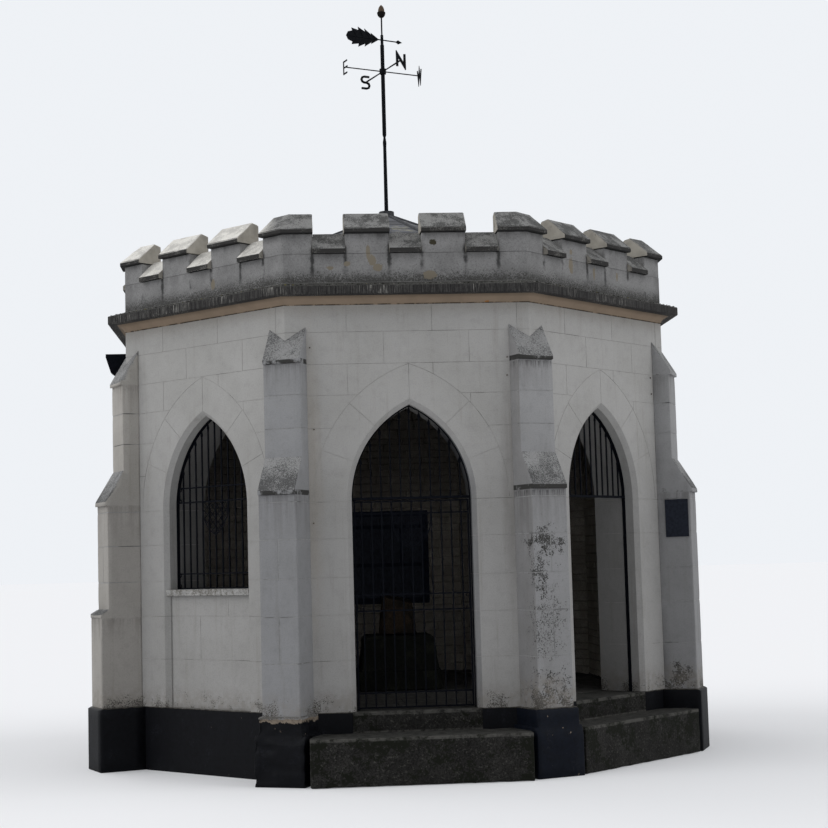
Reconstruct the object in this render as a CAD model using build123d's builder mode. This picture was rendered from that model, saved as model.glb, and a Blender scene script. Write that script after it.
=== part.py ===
from build123d import *
from math import acos, atan2, cos, degrees, radians, sin, sqrt, tan
import os

os.makedirs("parts", exist_ok=True)

# A small eight-sided market shelter with battlements, an arched window, two gateways with
# wrought-iron gates, a slated roof and an oak-leaf weathervane.
# Millimetres. The origin is on the shelter's axis at the lowest ground level, +Z is up, and
# the closed front gate faces -Y. On a side's own plane, x runs to the right as seen from
# outside, y is height, and the normal points outwards.

# Octagon and walls
across_flats = 5800
wall_thickness = 530
wall_height = 4810
floor_level = 650

# Arched openings
opening_width = 1170
springing_height = 2680
arch_centre_offset = 438
arris_chamfer = 45
grille_setback = 140
sill_height = 1850
sill_thickness = 70
sill_setback = 8
apron_setback = 60

# Steps
step_height = 455
front_step_going = 500
front_step_width = 2100
side_step_going = 390
side_step_width = 2080

# Buttresses
buttress_width = 388
upper_projection = 98
lower_projection = 273
spread_projection = 351
upper_stage_height = 4008
lower_stage_height = 2735
spread_stage_height = 1570
weathering_pitch = 58.5
weathering_drip = 25
spread_pitch = 29
spread_drip = 8
weathering_edge = 42
plinth_projection = 35
plinth_splay = 20
footing_projection = 28
footing_height = 395
footing_splay = 85

# Cornice
cornice_height = 230
cavetto_height = 87
cavetto_reach = 130
cornice_reach = 180
cornice_lip = 88

# Parapet
parapet_thickness = 230
parapet_height = 284
merlon_height = 203
merlon_width = 453
corner_merlon_arm = 295
coping_side_overhang = 10
coping_overhang = 50
coping_back_overhang = 30
coping_fascia = 46
coping_pitch = 42
coping_ridge_setback = 160
coping_ridge_flat = 18
coping_back_drop = 20

# Roof
roof_rise = 1220
eaves_thickness = 50
apex_thickness = 70
slope_joint = 2
hip_roll_radius = 28
hip_roll_gap = 12
roof_cap_radius = 88
roof_cap_height = 40

# Wrought iron
fit_gap = 0.3
frame_bar = 10
frame_depth = 35
bar_pitch = 97.5
bar_size = 13
rail_size = 14
transom_size = 24
leaf_stile = 16
leaf_side_gap = 9
leaf_end_gap = 12
spear_length = 88
spear_width = 32
spear_thickness = 9
scroll_radius = 17
scroll_bar = 7
shield_width = 383
shield_height = 350
shield_rim = 10
shield_thickness = 5
shield_lattice_pitch = 80
shield_lattice_bar = 6
pivot_radius = 6
pivot_length = 10
bearing_radius = 12
bearing_clearance = 0.5

# Flats round the turned forms, the rods and rolls, and the scrolls
turned_flats = 12
rod_flats = 8
scroll_flats = 10

# Heights of the rails: above the sill, above the floor, and from the springing
window_low_rail = 155
window_rail_rises = (60, 210)
leaf_low_rail = 161
leaf_rail_drops = (1080, 925, 137)

# Panels
board_width = 1140
board_height = 1180
board_thickness = 20
board_base = 1545
board_frame = 40
plaque_width = 245
plaque_height = 400
plaque_thickness = 12
plaque_base = 2258
plaque_corner_distance = 25

# Rainwater hopper and downpipe
hopper_width = 240
hopper_depth = 238
hopper_height = 245
hopper_rim_height = 35
hopper_bowl_height = 200
hopper_bowl_taper = 51
hopper_foot_width = 120
hopper_shell = 6
hopper_top = 4390
hopper_side_gap = 12
downpipe_radius = 38
downpipe_bore = 34
downpipe_stand_off = 62
downpipe_foot = 60
bracket_width = 96
bracket_height = 26
bracket_spacing = 1300

# Old cross
socket_width = 930
socket_top_width = 790
socket_base_height = 230
socket_height = 610
socket_round = 40
socket_batter = 40
shaft_width = 430
shaft_top_width = 330
shaft_height = 440
shaft_chamfer = 60
shaft_break_fall = 70

# Weathervane
pole_radius = 23
lower_pole_radius = 19
coupling_rise = 913
coupling_length = 143
coupling_radius = 22
coupling_neck_radius = 13
spindle_radius = 9
spindle_length = 323
arm_height = 7790
arm_drop = 320
arm_length = 480
arm_radius = 7
hub_radius = 38
hub_length = 60
letter_height = 160
letter_width = 112
letter_stroke = 17
letter_thickness = 8
north_heading = 292.5
vane_heading = 24.6
vane_lift = 58
sleeve_radius = 17
sleeve_length = 116
vane_rod_radius = 7
arrow_reach = 267
arrow_head_length = 90
arrow_head_width = 50
vane_plate = 6
leaf_stem = 50
oak_leaf_length = 420
oak_leaf_width = 240
oak_lobes = 4
acorn_radius = 50
acorn_height = 156
acorn_tip_radius = 4

# Derived sizes
sides = 8
half_step = 180 / sides
half_flat = 180 / turned_flats
apothem = across_flats / 2
inner_apothem = apothem - wall_thickness
corner_radius = apothem / cos(radians(half_step))
half_side = apothem * tan(radians(half_step))
half_opening = opening_width / 2
parapet_inner = apothem - parapet_thickness
parapet_top = wall_height + parapet_height
merlon_top = parapet_top + merlon_height
roof_apex = wall_height + eaves_thickness + roof_rise
frame_half_width = half_opening - fit_gap
frame_front = apothem - grille_setback
frame_middle = frame_front - frame_depth / 2
hinge_distance = frame_half_width - frame_bar - leaf_side_gap - leaf_stile / 2
leaf_width = 2 * hinge_distance
transom_base = springing_height
leaf_base = floor_level + leaf_end_gap
leaf_top = transom_base - leaf_end_gap
window_rails = (sill_height + window_low_rail,
                *[springing_height + rise for rise in window_rail_rises])
leaf_rails = (floor_level + leaf_low_rail, *[springing_height - drop for drop in leaf_rail_drops])
hopper_position = (half_side - buttress_width / 2 / cos(radians(half_step)) - hopper_side_gap
                   - hopper_width / 2)
pole_base = roof_apex + roof_cap_height
coupling_height = pole_base + coupling_rise
pole_top = arm_height + arm_drop
spindle_top = pole_top + spindle_length
vane_height = pole_top + vane_lift

# Directions that the sides and corners face, in degrees from +X
front, front_right, right, back_right, back, back_left, left, front_left = (
    -90, -45, 0, 45, 90, 135, 180, 225)


def side_plane(heading, distance):
    """A plane across the given heading, with x to the right as seen from outside and y up."""
    turn = radians(heading)
    return Plane(origin=(distance * cos(turn), distance * sin(turn), 0),
                 x_dir=(-sin(turn), cos(turn), 0), z_dir=(cos(turn), sin(turn), 0))


def plan_plane(heading, height=0):
    """A level plane whose x axis points along the given heading."""
    turn = radians(heading)
    return Plane(origin=(0, 0, height), x_dir=(cos(turn), sin(turn), 0), z_dir=(0, 0, 1))


def section_plane(heading):
    """The upright plane through the axis, with x outwards along the heading and y up."""
    turn = radians(heading)
    return Plane(origin=(0, 0, 0), x_dir=(cos(turn), sin(turn), 0), z_dir=(sin(turn), -cos(turn), 0))


def outline(*corners):
    """A filled outline through the given corners."""
    with BuildSketch() as shape:
        with BuildLine():
            Polyline(*corners, close=True)
        make_face()
    return shape.sketch


def pointed_arch(half_width, base):
    """The opening's outline: two arcs that meet in a point, over upright sides down to the base."""
    radius = half_width + arch_centre_offset
    crown = springing_height + sqrt(radius**2 - arch_centre_offset**2)
    half_turn = acos(arch_centre_offset / radius) / 2
    haunch_x = radius * cos(half_turn) - arch_centre_offset
    haunch_y = springing_height + radius * sin(half_turn)
    with BuildSketch() as shape:
        with BuildLine():
            Line((-half_width, springing_height), (half_width, springing_height))
            ThreePointArc((half_width, springing_height), (haunch_x, haunch_y), (0, crown))
            ThreePointArc((0, crown), (-haunch_x, haunch_y), (-half_width, springing_height))
        make_face()
        if base < springing_height:
            with Locations((0, (springing_height + base) / 2)):
                Rectangle(2 * half_width, springing_height - base)
    return shape.sketch


def arch_height(half_width, offset):
    """Height of the arch curve of the given half width, at a distance from its centre line."""
    radius = half_width + arch_centre_offset
    return springing_height + sqrt(radius**2 - (abs(offset) + arch_centre_offset)**2)


def arch_half_width(half_width, height):
    """Half the width of the opening at a height, for an opening of the given half width."""
    rise = max(height - springing_height, 0)
    return sqrt((half_width + arch_centre_offset)**2 - rise**2) - arch_centre_offset


def mitred_length(profile, heading, open_joint=0):
    """A (distance, height) profile run along one side and mitred at both of its corners."""
    reach = 2 * corner_radius
    tip = open_joint / 2 / sin(radians(half_step))
    with BuildPart() as length:
        with BuildSketch(section_plane(heading)):
            add(profile)
        extrude(amount=reach, both=True)
        with BuildSketch(plan_plane(heading)):
            add(outline((tip, 0), (tip + reach, -reach * tan(radians(half_step))),
                        (tip + reach, reach * tan(radians(half_step)))))
        extrude(amount=2 * roof_apex, mode=Mode.INTERSECT)
    return length.part


def finish(part, name):
    """Label a piece and write it under its own name."""
    part.label = name
    export_step(part, f"parts/{name}.step")


# Plain walls: one mitred slab for each side that has no opening
wall_section = outline((inner_apothem, 0), (apothem, 0), (apothem, wall_height),
                       (inner_apothem, wall_height))
plain_sides = {"right": right, "back_right": back_right, "back": back, "back_left": back_left,
               "left": left}
for side_name, heading in plain_sides.items():
    with BuildPart() as wall:
        add(mitred_length(wall_section, heading))
    finish(wall.part, f"wall_{side_name}")

# Walls with an arched opening: two piers up to the springing and an arched wall over them
arched_sides = {"front": front, "doorway": front_right, "window": front_left}
pier_plan = ((inner_apothem, half_opening), (apothem - arris_chamfer, half_opening),
             (apothem, half_opening + arris_chamfer), (apothem, half_side),
             (inner_apothem, inner_apothem * tan(radians(half_step))))
head_plan = ((inner_apothem, -pier_plan[4][1]), (apothem, -half_side), (apothem, half_side),
             (inner_apothem, pier_plan[4][1]))
for side_name, heading in arched_sides.items():
    for hand, sign in (("left", -1), ("right", 1)):
        with BuildPart() as pier:
            with BuildSketch(plan_plane(heading)):
                add(outline(*[(x, sign * y) for x, y in pier_plan]))
            extrude(amount=springing_height)
        finish(pier.part, f"{side_name}_pier_{hand}")
    with BuildPart() as arch_wall:
        with BuildSketch(plan_plane(heading, springing_height)):
            add(outline(*head_plan))
        extrude(amount=wall_height - springing_height)
        with BuildSketch(side_plane(heading, apothem)):
            add(pointed_arch(half_opening, 0))
        extrude(amount=-wall_thickness, mode=Mode.SUBTRACT)
        outward = Axis((0, 0, 0), side_plane(heading, 0).z_dir)
        arch_arris = arch_wall.faces().sort_by(outward)[-1].edges().filter_by(GeomType.CIRCLE)
        chamfer(arch_arris, length=arris_chamfer)
    finish(arch_wall.part, f"{side_name}_arch_wall")

# What fills the foot of an opening, out to the chamfered arrises
foot_plan = ((inner_apothem, -half_opening), (apothem - arris_chamfer, -half_opening),
             (apothem, -half_opening - arris_chamfer), (apothem, half_opening + arris_chamfer),
             (apothem - arris_chamfer, half_opening), (inner_apothem, half_opening))

# Window apron: full thickness up to the plinth, then a panel set back from the face
with BuildPart() as window_apron:
    with BuildSketch(plan_plane(front_left)):
        add(outline(*foot_plan))
    extrude(amount=floor_level)
    with BuildSketch(plan_plane(front_left, floor_level)):
        add(outline((inner_apothem, -half_opening), (apothem - apron_setback, -half_opening),
                    (apothem - apron_setback, half_opening), (inner_apothem, half_opening)))
    extrude(amount=sill_height - sill_thickness - floor_level)
finish(window_apron.part, "window_apron")

with BuildPart() as window_sill:
    sill_front = apothem - sill_setback
    sill_spread = half_opening + arris_chamfer - sill_setback
    with BuildSketch(plan_plane(front_left, sill_height - sill_thickness)):
        add(outline((inner_apothem, -half_opening), (apothem - arris_chamfer, -half_opening),
                    (sill_front, -sill_spread), (sill_front, sill_spread),
                    (apothem - arris_chamfer, half_opening), (inner_apothem, half_opening)))
    extrude(amount=sill_thickness)
finish(window_sill.part, "window_sill")

# Thresholds: one granite block in the foot of each gateway
with BuildPart() as thresholds:
    for heading in (front, front_right):
        with BuildSketch(plan_plane(heading)):
            add(outline(*foot_plan))
        extrude(amount=floor_level)
finish(thresholds.part, "thresholds")

# Floor: paving on made ground between the walls
with BuildPart() as floor:
    with BuildSketch():
        RegularPolygon(inner_apothem, sides, major_radius=False, rotation=half_step)
    extrude(amount=floor_level)
finish(floor.part, "floor")


def buttress_section(has_spread_base):
    """A buttress's outline from the axis outwards: stages with a weathered slope over each."""
    slope = tan(radians(weathering_pitch))
    upper = corner_radius + upper_projection
    lower = corner_radius + lower_projection
    foot = corner_radius + (spread_projection if has_spread_base else lower_projection)
    corners = [(apothem / 2, 0), (foot, 0)]
    if has_spread_base:
        spread_edge = foot + spread_drip
        spread_top = spread_stage_height + weathering_edge
        corners += [(foot, spread_stage_height), (spread_edge, spread_stage_height),
                    (spread_edge, spread_top),
                    (lower, spread_top + (spread_edge - lower) * tan(radians(spread_pitch)))]
    for stage, height, above in ((lower, lower_stage_height, upper),
                                 (upper, upper_stage_height, apothem / 2)):
        edge = stage + weathering_drip
        corners += [(stage, height), (edge, height), (edge, height + weathering_edge),
                    (above, height + weathering_edge + (edge - above) * slope)]
    return outline(*corners)


def plinth_block(foot, spread, height, splay):
    """The (distance, height) outline of a plinth whose top is splayed back to the stage above."""
    return outline((apothem / 2, 0), (foot + spread, 0), (foot + spread, height - splay),
                   (foot, height), (apothem / 2, height))


corner_headings = {"front_left": 247.5, "front_right": 292.5, "right_front": 337.5,
                   "right_back": 22.5, "back_right": 67.5, "back_left": 112.5,
                   "left_back": 157.5, "left_front": 202.5}
footed_corners = ("front_left", "front_right")
spread_corners = ("left_front",)

# Buttresses: each straddles a corner, outside the octagon itself
buttresses = {}
for corner_name, heading in corner_headings.items():
    footed = corner_name in footed_corners
    spread = corner_name in spread_corners
    foot_radius = corner_radius + (spread_projection if spread else lower_projection)
    with BuildPart() as buttress:
        with BuildSketch(section_plane(heading)):
            add(buttress_section(spread))
        extrude(amount=buttress_width / 2, both=True)
        with BuildSketch(section_plane(heading)):
            add(plinth_block(foot_radius, plinth_projection, floor_level, plinth_splay))
        extrude(amount=buttress_width / 2 + plinth_projection, both=True)
        if footed:
            with BuildSketch(section_plane(heading)):
                add(plinth_block(foot_radius + plinth_projection, footing_projection,
                                 footing_height + footing_splay, footing_splay))
            extrude(amount=buttress_width / 2 + plinth_projection + footing_projection, both=True)
        with BuildSketch():
            RegularPolygon(apothem, sides, major_radius=False, rotation=half_step)
        extrude(amount=2 * wall_height, mode=Mode.SUBTRACT)
    buttresses[corner_name] = buttress.part
    finish(buttress.part, f"buttress_{corner_name}")

# Lower steps: each lies against the wall and fits between two buttresses
with BuildPart() as lower_steps:
    for heading, going, width in ((front, front_step_going, front_step_width),
                                  (front_right, side_step_going, side_step_width)):
        with BuildSketch(plan_plane(heading)):
            with Locations((apothem + going / 2, 0)):
                Rectangle(going, width)
        extrude(amount=step_height)
    for corner_name in ("front_left", "front_right", "right_front"):
        add(buttresses[corner_name], mode=Mode.SUBTRACT)
finish(lower_steps.part, "lower_steps")


def around_octagon(profile, open_joint=0):
    """A (distance, height) profile run round all eight sides, mitred at the corners."""
    with BuildPart() as ring:
        side = mitred_length(profile, 0, open_joint)
        with PolarLocations(0, sides):
            add(side)
    return ring.part


# Cornice: a hollow moulding under a square lip, with a weathered top
with BuildSketch() as cornice_section:
    cornice_base = wall_height - cornice_height
    cavetto_top = cornice_base + cavetto_height
    lip_top = cavetto_top + cornice_lip
    with BuildLine():
        ThreePointArc((apothem, cornice_base),
                      (apothem + cavetto_reach * (1 - cos(radians(45))),
                       cornice_base + cavetto_height * sin(radians(45))),
                      (apothem + cavetto_reach, cavetto_top))
        Polyline((apothem + cavetto_reach, cavetto_top), (apothem + cornice_reach, cavetto_top),
                 (apothem + cornice_reach, lip_top), (apothem, wall_height),
                 (apothem, cornice_base))
    make_face()
with BuildPart() as cornice:
    add(around_octagon(cornice_section.sketch))
finish(cornice.part, "cornice")

# Parapet: a low wall, merlons on it, and copings over both
parapet_section = outline((parapet_inner, wall_height), (apothem, wall_height),
                          (apothem, parapet_top), (parapet_inner, parapet_top))
with BuildPart() as parapet_wall:
    add(around_octagon(parapet_section))
finish(parapet_wall.part, "parapet_wall")

merlon_section = outline((parapet_inner, parapet_top), (apothem, parapet_top),
                         (apothem, merlon_top), (parapet_inner, merlon_top))
crenel_width = (2 * half_side - 2 * merlon_width - 2 * corner_merlon_arm) / 3
crenel_pitch = crenel_width + merlon_width


def coping_section(base):
    """A coping's outline: a square front edge, a steep fall outwards and a flat back."""
    front_edge = apothem + coping_overhang
    back_edge = parapet_inner - coping_back_overhang
    ridge = apothem - coping_ridge_setback
    ridge_height = base + coping_fascia + (front_edge - ridge) * tan(radians(coping_pitch))
    return outline((back_edge, base), (front_edge, base), (front_edge, base + coping_fascia),
                   (ridge, ridge_height), (ridge - coping_ridge_flat, ridge_height),
                   (back_edge, ridge_height - coping_back_drop))


def crenel_gaps(width, base, height):
    """Three boxes through one side's parapet, one in each gap between merlons."""
    with BuildPart() as gaps:
        with Locations((apothem - parapet_thickness / 2, 0, base)):
            with GridLocations(0, crenel_pitch, 1, 3):
                Box(4 * parapet_thickness, width, height,
                    align=(Align.CENTER, Align.CENTER, Align.MIN))
    return gaps.part


def battlement(profile, gaps, keep):
    """A profile run round the octagon and either opened at the gaps or kept only in them."""
    with BuildPart() as side:
        add(mitred_length(profile, 0))
        add(gaps, mode=keep)
    with BuildPart() as course:
        with PolarLocations(0, sides):
            add(side.part)
    return course.part


coping_room = 4 * merlon_height
wall_gaps = crenel_gaps(crenel_width + 2 * coping_side_overhang, parapet_top, coping_room)
coping_gaps = crenel_gaps(crenel_width, merlon_top, coping_room)
with BuildPart() as merlons:
    add(battlement(merlon_section, wall_gaps, Mode.SUBTRACT))
finish(merlons.part, "merlons")
with BuildPart() as merlon_copings:
    add(battlement(coping_section(merlon_top), coping_gaps, Mode.SUBTRACT))
finish(merlon_copings.part, "merlon_copings")
with BuildPart() as crenel_copings:
    add(battlement(coping_section(parapet_top), wall_gaps, Mode.INTERSECT))
    add(merlon_copings.part, mode=Mode.SUBTRACT)
finish(crenel_copings.part, "crenel_copings")

# Roof: eight slated slopes behind the parapet, hollow below, that meet under the lead rolls
roof_section = outline((parapet_inner, wall_height), (parapet_inner, wall_height + eaves_thickness),
                       (0, roof_apex), (0, roof_apex - apex_thickness),
                       (inner_apothem, wall_height))
with BuildPart() as roof:
    add(around_octagon(roof_section, slope_joint))
finish(roof.part, "roof")

# Lead rolls on the hips and a lead cap at the apex, dressed over the slates
roof_slope = roof_rise / parapet_inner
hip_run = parapet_inner / cos(radians(half_step)) - hip_roll_gap
hip_foot = Vector(hip_run * cos(radians(half_step)), hip_run * sin(radians(half_step)),
                  roof_apex - roof_slope * hip_run * cos(radians(half_step)))
hip_line = Vector(0, 0, roof_apex) - hip_foot
cap_sink = (apex_thickness + roof_slope * roof_cap_radius) / 2
with BuildPart() as hip_roll:
    with BuildSketch(Plane(origin=hip_foot, z_dir=hip_line)):
        RegularPolygon(hip_roll_radius, rod_flats)
    extrude(amount=hip_line.length)
with BuildPart() as roof_leadwork:
    with PolarLocations(0, sides):
        add(hip_roll.part)
    with BuildSketch(Plane.XY.offset(roof_apex - cap_sink)):
        RegularPolygon(roof_cap_radius, turned_flats)
    extrude(amount=roof_cap_height + cap_sink)
    add(roof.part, mode=Mode.SUBTRACT)
    with BuildSketch(Plane.XY.offset(wall_height)):
        RegularPolygon(parapet_inner, sides, major_radius=False, rotation=half_step)
    extrude(amount=2 * roof_rise, mode=Mode.INTERSECT)
finish(roof_leadwork.part, "roof_leadwork")


def spearhead():
    """A leaf-shaped spear point with its tip at the origin."""
    half = spear_width / 2
    neck = bar_size / 2
    return outline((0, 0), (0.55 * half, -0.3 * spear_length), (half, -0.62 * spear_length),
                   (neck, -0.85 * spear_length), (neck, -spear_length), (-neck, -spear_length),
                   (-neck, -0.85 * spear_length), (-half, -0.62 * spear_length),
                   (-0.55 * half, -0.3 * spear_length))


def scroll_pair(low, high, stile_edge, sign):
    """A C-scroll between two rails: a curled end at each rail and the bar that joins them."""
    x = stile_edge - sign * scroll_radius
    with BuildSketch() as shape:
        with Locations((x, low + scroll_radius), (x, high - scroll_radius)):
            RegularPolygon(scroll_radius + scroll_bar / 2, scroll_flats)
            RegularPolygon(scroll_radius - scroll_bar / 2, scroll_flats, mode=Mode.SUBTRACT)
        with Locations((stile_edge - sign * scroll_bar / 2, (low + high) / 2)):
            Rectangle(scroll_bar, high - low)
    return shape.sketch


def shield_panel():
    """A heater shield: a flat-bar rim with a plain diagonal lattice, its top edge on the x axis."""
    half = shield_width / 2
    edge = [(half, 0), (half, -0.25 * shield_height), (0.92 * half, -0.49 * shield_height),
            (0.69 * half, -0.71 * shield_height), (0.37 * half, -0.88 * shield_height)]
    with BuildSketch() as rim:
        add(outline(*edge, (0, -shield_height), *[(-x, y) for x, y in reversed(edge)]))
    with BuildSketch() as field:
        add(rim.sketch)
        offset(amount=-shield_rim)
    with BuildSketch() as lattice:
        rows = int(shield_width / shield_lattice_pitch) + 3
        with Locations((0, -shield_height / 2)):
            with GridLocations(shield_lattice_pitch, 0, rows, 1):
                Rectangle(shield_lattice_bar, 2 * shield_height, rotation=45)
                Rectangle(shield_lattice_bar, 2 * shield_height, rotation=-45)
        add(field.sketch, mode=Mode.INTERSECT)
    with BuildSketch() as panel:
        add(rim.sketch)
        add(field.sketch, mode=Mode.SUBTRACT)
        add(lattice.sketch)
    return panel.sketch


bar_offsets = [index * bar_pitch for index in range(-5, 6)]
inner_half_width = frame_half_width - frame_bar


def head_bars(heading, base):
    """Upright bars from a base height to the arched frame, each with a spearhead at its tip."""
    with BuildPart() as bars:
        for x in bar_offsets:
            tip = arch_height(inner_half_width, x) + frame_bar / 3
            with BuildSketch(side_plane(heading, frame_middle)):
                with Locations((x, (base + tip - spear_length / 2) / 2)):
                    Rectangle(bar_size, tip - spear_length / 2 - base)
            extrude(amount=bar_size / 2, both=True)
            with BuildSketch(side_plane(heading, frame_middle)):
                with Locations((x, tip)):
                    add(spearhead())
            extrude(amount=spear_thickness / 2, both=True)
    return bars.part


# Window grille: a flat-bar frame that follows the arch, bars, rails, scrolls and a shield
with BuildPart() as window_grille:
    with BuildSketch(side_plane(front_left, frame_middle)):
        add(pointed_arch(frame_half_width, sill_height))
        add(pointed_arch(inner_half_width, sill_height + rail_size), mode=Mode.SUBTRACT)
    extrude(amount=frame_depth / 2, both=True)
    with BuildSketch(side_plane(front_left, frame_middle)):
        for height in window_rails:
            with Locations((0, height)):
                Rectangle(2 * arch_half_width(inner_half_width, height) + frame_bar, rail_size)
    extrude(amount=leaf_stile / 2, both=True)
    add(head_bars(front_left, sill_height + rail_size / 2))
    with BuildSketch(side_plane(front_left, frame_middle)):
        scroll_edge = arch_half_width(inner_half_width, window_rails[2])
        for sign in (-1, 1):
            add(scroll_pair(window_rails[1], window_rails[2], sign * scroll_edge, sign))
            add(scroll_pair(sill_height + rail_size, window_rails[0], sign * inner_half_width, sign))
    extrude(amount=scroll_bar / 2, both=True)
    with BuildSketch(side_plane(front_left, frame_middle + bar_size / 2)):
        with Locations((0, window_rails[1])):
            add(shield_panel())
    extrude(amount=shield_thickness)
finish(window_grille.part, "window_grille")

# Gate heads: the arched top of the same frame, fixed over each gate on a transom
for side_name, heading in (("front", front), ("doorway", front_right)):
    with BuildPart() as gate_head:
        with BuildSketch(side_plane(heading, frame_middle)):
            add(pointed_arch(frame_half_width, transom_base))
            add(pointed_arch(inner_half_width, transom_base), mode=Mode.SUBTRACT)
            with Locations((0, transom_base + transom_size / 2)):
                Rectangle(2 * inner_half_width, transom_size)
        extrude(amount=frame_depth / 2, both=True)
        add(head_bars(heading, transom_base + transom_size / 2))
    finish(gate_head.part, f"{side_name}_gate_head")

# Gate jambs: a flat bar up each side of both gateways, from threshold to transom
with BuildPart() as gate_jambs:
    for heading in (front, front_right):
        for sign in (-1, 1):
            with BuildSketch(side_plane(heading, frame_middle)):
                with Locations((sign * (frame_half_width - frame_bar / 2),
                                (floor_level + transom_base) / 2)):
                    Rectangle(frame_bar, transom_base - floor_level)
            extrude(amount=frame_depth / 2, both=True)
finish(gate_jambs.part, "gate_jambs")


def hinge_point(heading):
    """Where the axis of a gate leaf stands, at ground level."""
    return side_plane(heading, frame_middle).from_local_coords(Vector(-hinge_distance, 0, 0))


def gate_leaf(plane):
    """A gate leaf on a plane whose origin is on the hinge axis and whose x runs along the leaf."""
    middle = leaf_width / 2
    clear_half = middle - leaf_stile / 2
    stile_height = leaf_top - leaf_base
    rail_heights = (leaf_base + rail_size / 2, *leaf_rails, leaf_top - rail_size / 2)
    with BuildPart() as leaf:
        with BuildSketch(plane):
            with Locations((0, leaf_base + stile_height / 2), (leaf_width, leaf_base + stile_height / 2)):
                Rectangle(leaf_stile, stile_height)
            for height in rail_heights:
                with Locations((middle, height)):
                    Rectangle(leaf_width, rail_size)
        extrude(amount=leaf_stile / 2, both=True)
        with BuildSketch(plane):
            with Locations(*[(middle + x, leaf_base + stile_height / 2) for x in bar_offsets]):
                Rectangle(bar_size, stile_height - rail_size)
        extrude(amount=bar_size / 2, both=True)
        with BuildSketch(plane):
            with Locations((middle, 0)):
                for sign in (-1, 1):
                    add(scroll_pair(leaf_rails[1], leaf_rails[2], sign * clear_half, sign))
        extrude(amount=scroll_bar / 2, both=True)
        with BuildSketch(plane.offset(bar_size / 2)):
            with Locations((middle, leaf_rails[3])):
                add(shield_panel())
        extrude(amount=shield_thickness)
        foot = Plane(origin=plane.origin + Vector(0, 0, leaf_base), z_dir=(0, 0, 1))
        with BuildSketch(foot):
            Circle(pivot_radius)
        extrude(amount=-pivot_length)
        with BuildSketch(foot.offset(stile_height)):
            Circle(pivot_radius)
        extrude(amount=pivot_length)
    return leaf.part


# Front gate leaf: shut in its opening
front_hinge = hinge_point(front)
front_turn = radians(front)
shut_plane = Plane(origin=front_hinge, x_dir=(-sin(front_turn), cos(front_turn), 0),
                   z_dir=(cos(front_turn), sin(front_turn), 0))
front_gate_leaf = gate_leaf(shut_plane)
finish(front_gate_leaf, "front_gate_leaf")

# Doorway gate leaf: stands open along the reveal, a quarter turn inwards
doorway_hinge = hinge_point(front_right)
doorway_turn = radians(front_right)
open_plane = Plane(origin=doorway_hinge, x_dir=(-cos(doorway_turn), -sin(doorway_turn), 0),
                   z_dir=(-sin(doorway_turn), cos(doorway_turn), 0))
doorway_gate_leaf = gate_leaf(open_plane)
finish(doorway_gate_leaf, "doorway_gate_leaf")

# Gate bearings: a foot cup on each threshold and an eye under each transom
with BuildPart() as gate_bearings:
    bearing_length = leaf_end_gap - fit_gap
    for hinge in (front_hinge, doorway_hinge):
        for height in (floor_level, transom_base - bearing_length):
            with BuildSketch(Plane(origin=(hinge.X, hinge.Y, height), z_dir=(0, 0, 1))):
                RegularPolygon(bearing_radius, rod_flats)
                Circle(pivot_radius + bearing_clearance, mode=Mode.SUBTRACT)
            extrude(amount=bearing_length)
finish(gate_bearings.part, "gate_bearings")

# Information board: a framed panel on the inner face of the back wall
with BuildPart() as information_board:
    with BuildSketch(side_plane(back, inner_apothem)):
        with Locations((0, board_base + board_height / 2)):
            Rectangle(board_width, board_height)
    extrude(amount=-board_thickness)
    with BuildSketch(side_plane(back, inner_apothem - board_thickness)):
        with Locations((0, board_base + board_height / 2)):
            Rectangle(board_width - 2 * board_frame, board_height - 2 * board_frame)
    extrude(amount=board_thickness / 3, mode=Mode.SUBTRACT)
finish(information_board.part, "information_board")

# Wall plaque: a blank plate on the near side of the right-hand front buttress
with BuildPart() as wall_plaque:
    plaque_turn = radians(337.5)
    plaque_middle = (corner_radius + lower_projection - plaque_corner_distance - plaque_width / 2)
    plaque_plane = Plane(
        origin=(plaque_middle * cos(plaque_turn) + buttress_width / 2 * sin(plaque_turn),
                plaque_middle * sin(plaque_turn) - buttress_width / 2 * cos(plaque_turn), 0),
        x_dir=(cos(plaque_turn), sin(plaque_turn), 0),
        z_dir=(sin(plaque_turn), -cos(plaque_turn), 0))
    with BuildSketch(plaque_plane):
        with Locations((0, plaque_base + plaque_height / 2)):
            Rectangle(plaque_width, plaque_height)
    extrude(amount=plaque_thickness)
finish(wall_plaque.part, "wall_plaque")

# Rainwater hopper: an open box on the left wall that narrows to its pipe
with BuildPart() as rainwater_hopper:
    hopper_levels = (hopper_top, hopper_top - hopper_rim_height, hopper_top - hopper_bowl_height,
                     hopper_top - hopper_height)
    reaches = (hopper_depth, hopper_depth, hopper_depth - hopper_bowl_taper, hopper_foot_width)
    spreads = [width / 2 for width in (hopper_width, hopper_width, hopper_width - hopper_bowl_taper,
                                       hopper_foot_width)]
    with BuildSketch(section_plane(left)):
        with Locations((apothem, 0)):
            add(outline(*zip(reaches, hopper_levels), (0, hopper_levels[3]), (0, hopper_top)))
    extrude(amount=2 * hopper_position, both=True)
    with BuildSketch(side_plane(left, apothem)):
        with Locations((hopper_position, 0)):
            add(outline(*zip(spreads, hopper_levels),
                        *[(-x, y) for x, y in reversed(list(zip(spreads, hopper_levels)))]))
    extrude(amount=hopper_depth, mode=Mode.INTERSECT)
    with BuildSketch(side_plane(left, apothem + hopper_shell)):
        with Locations((hopper_position, hopper_top - hopper_rim_height / 2)):
            Rectangle(hopper_width - 2 * hopper_shell, hopper_rim_height)
    extrude(amount=hopper_depth - 2 * hopper_shell, mode=Mode.SUBTRACT)
finish(rainwater_hopper.part, "rainwater_hopper")

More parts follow.
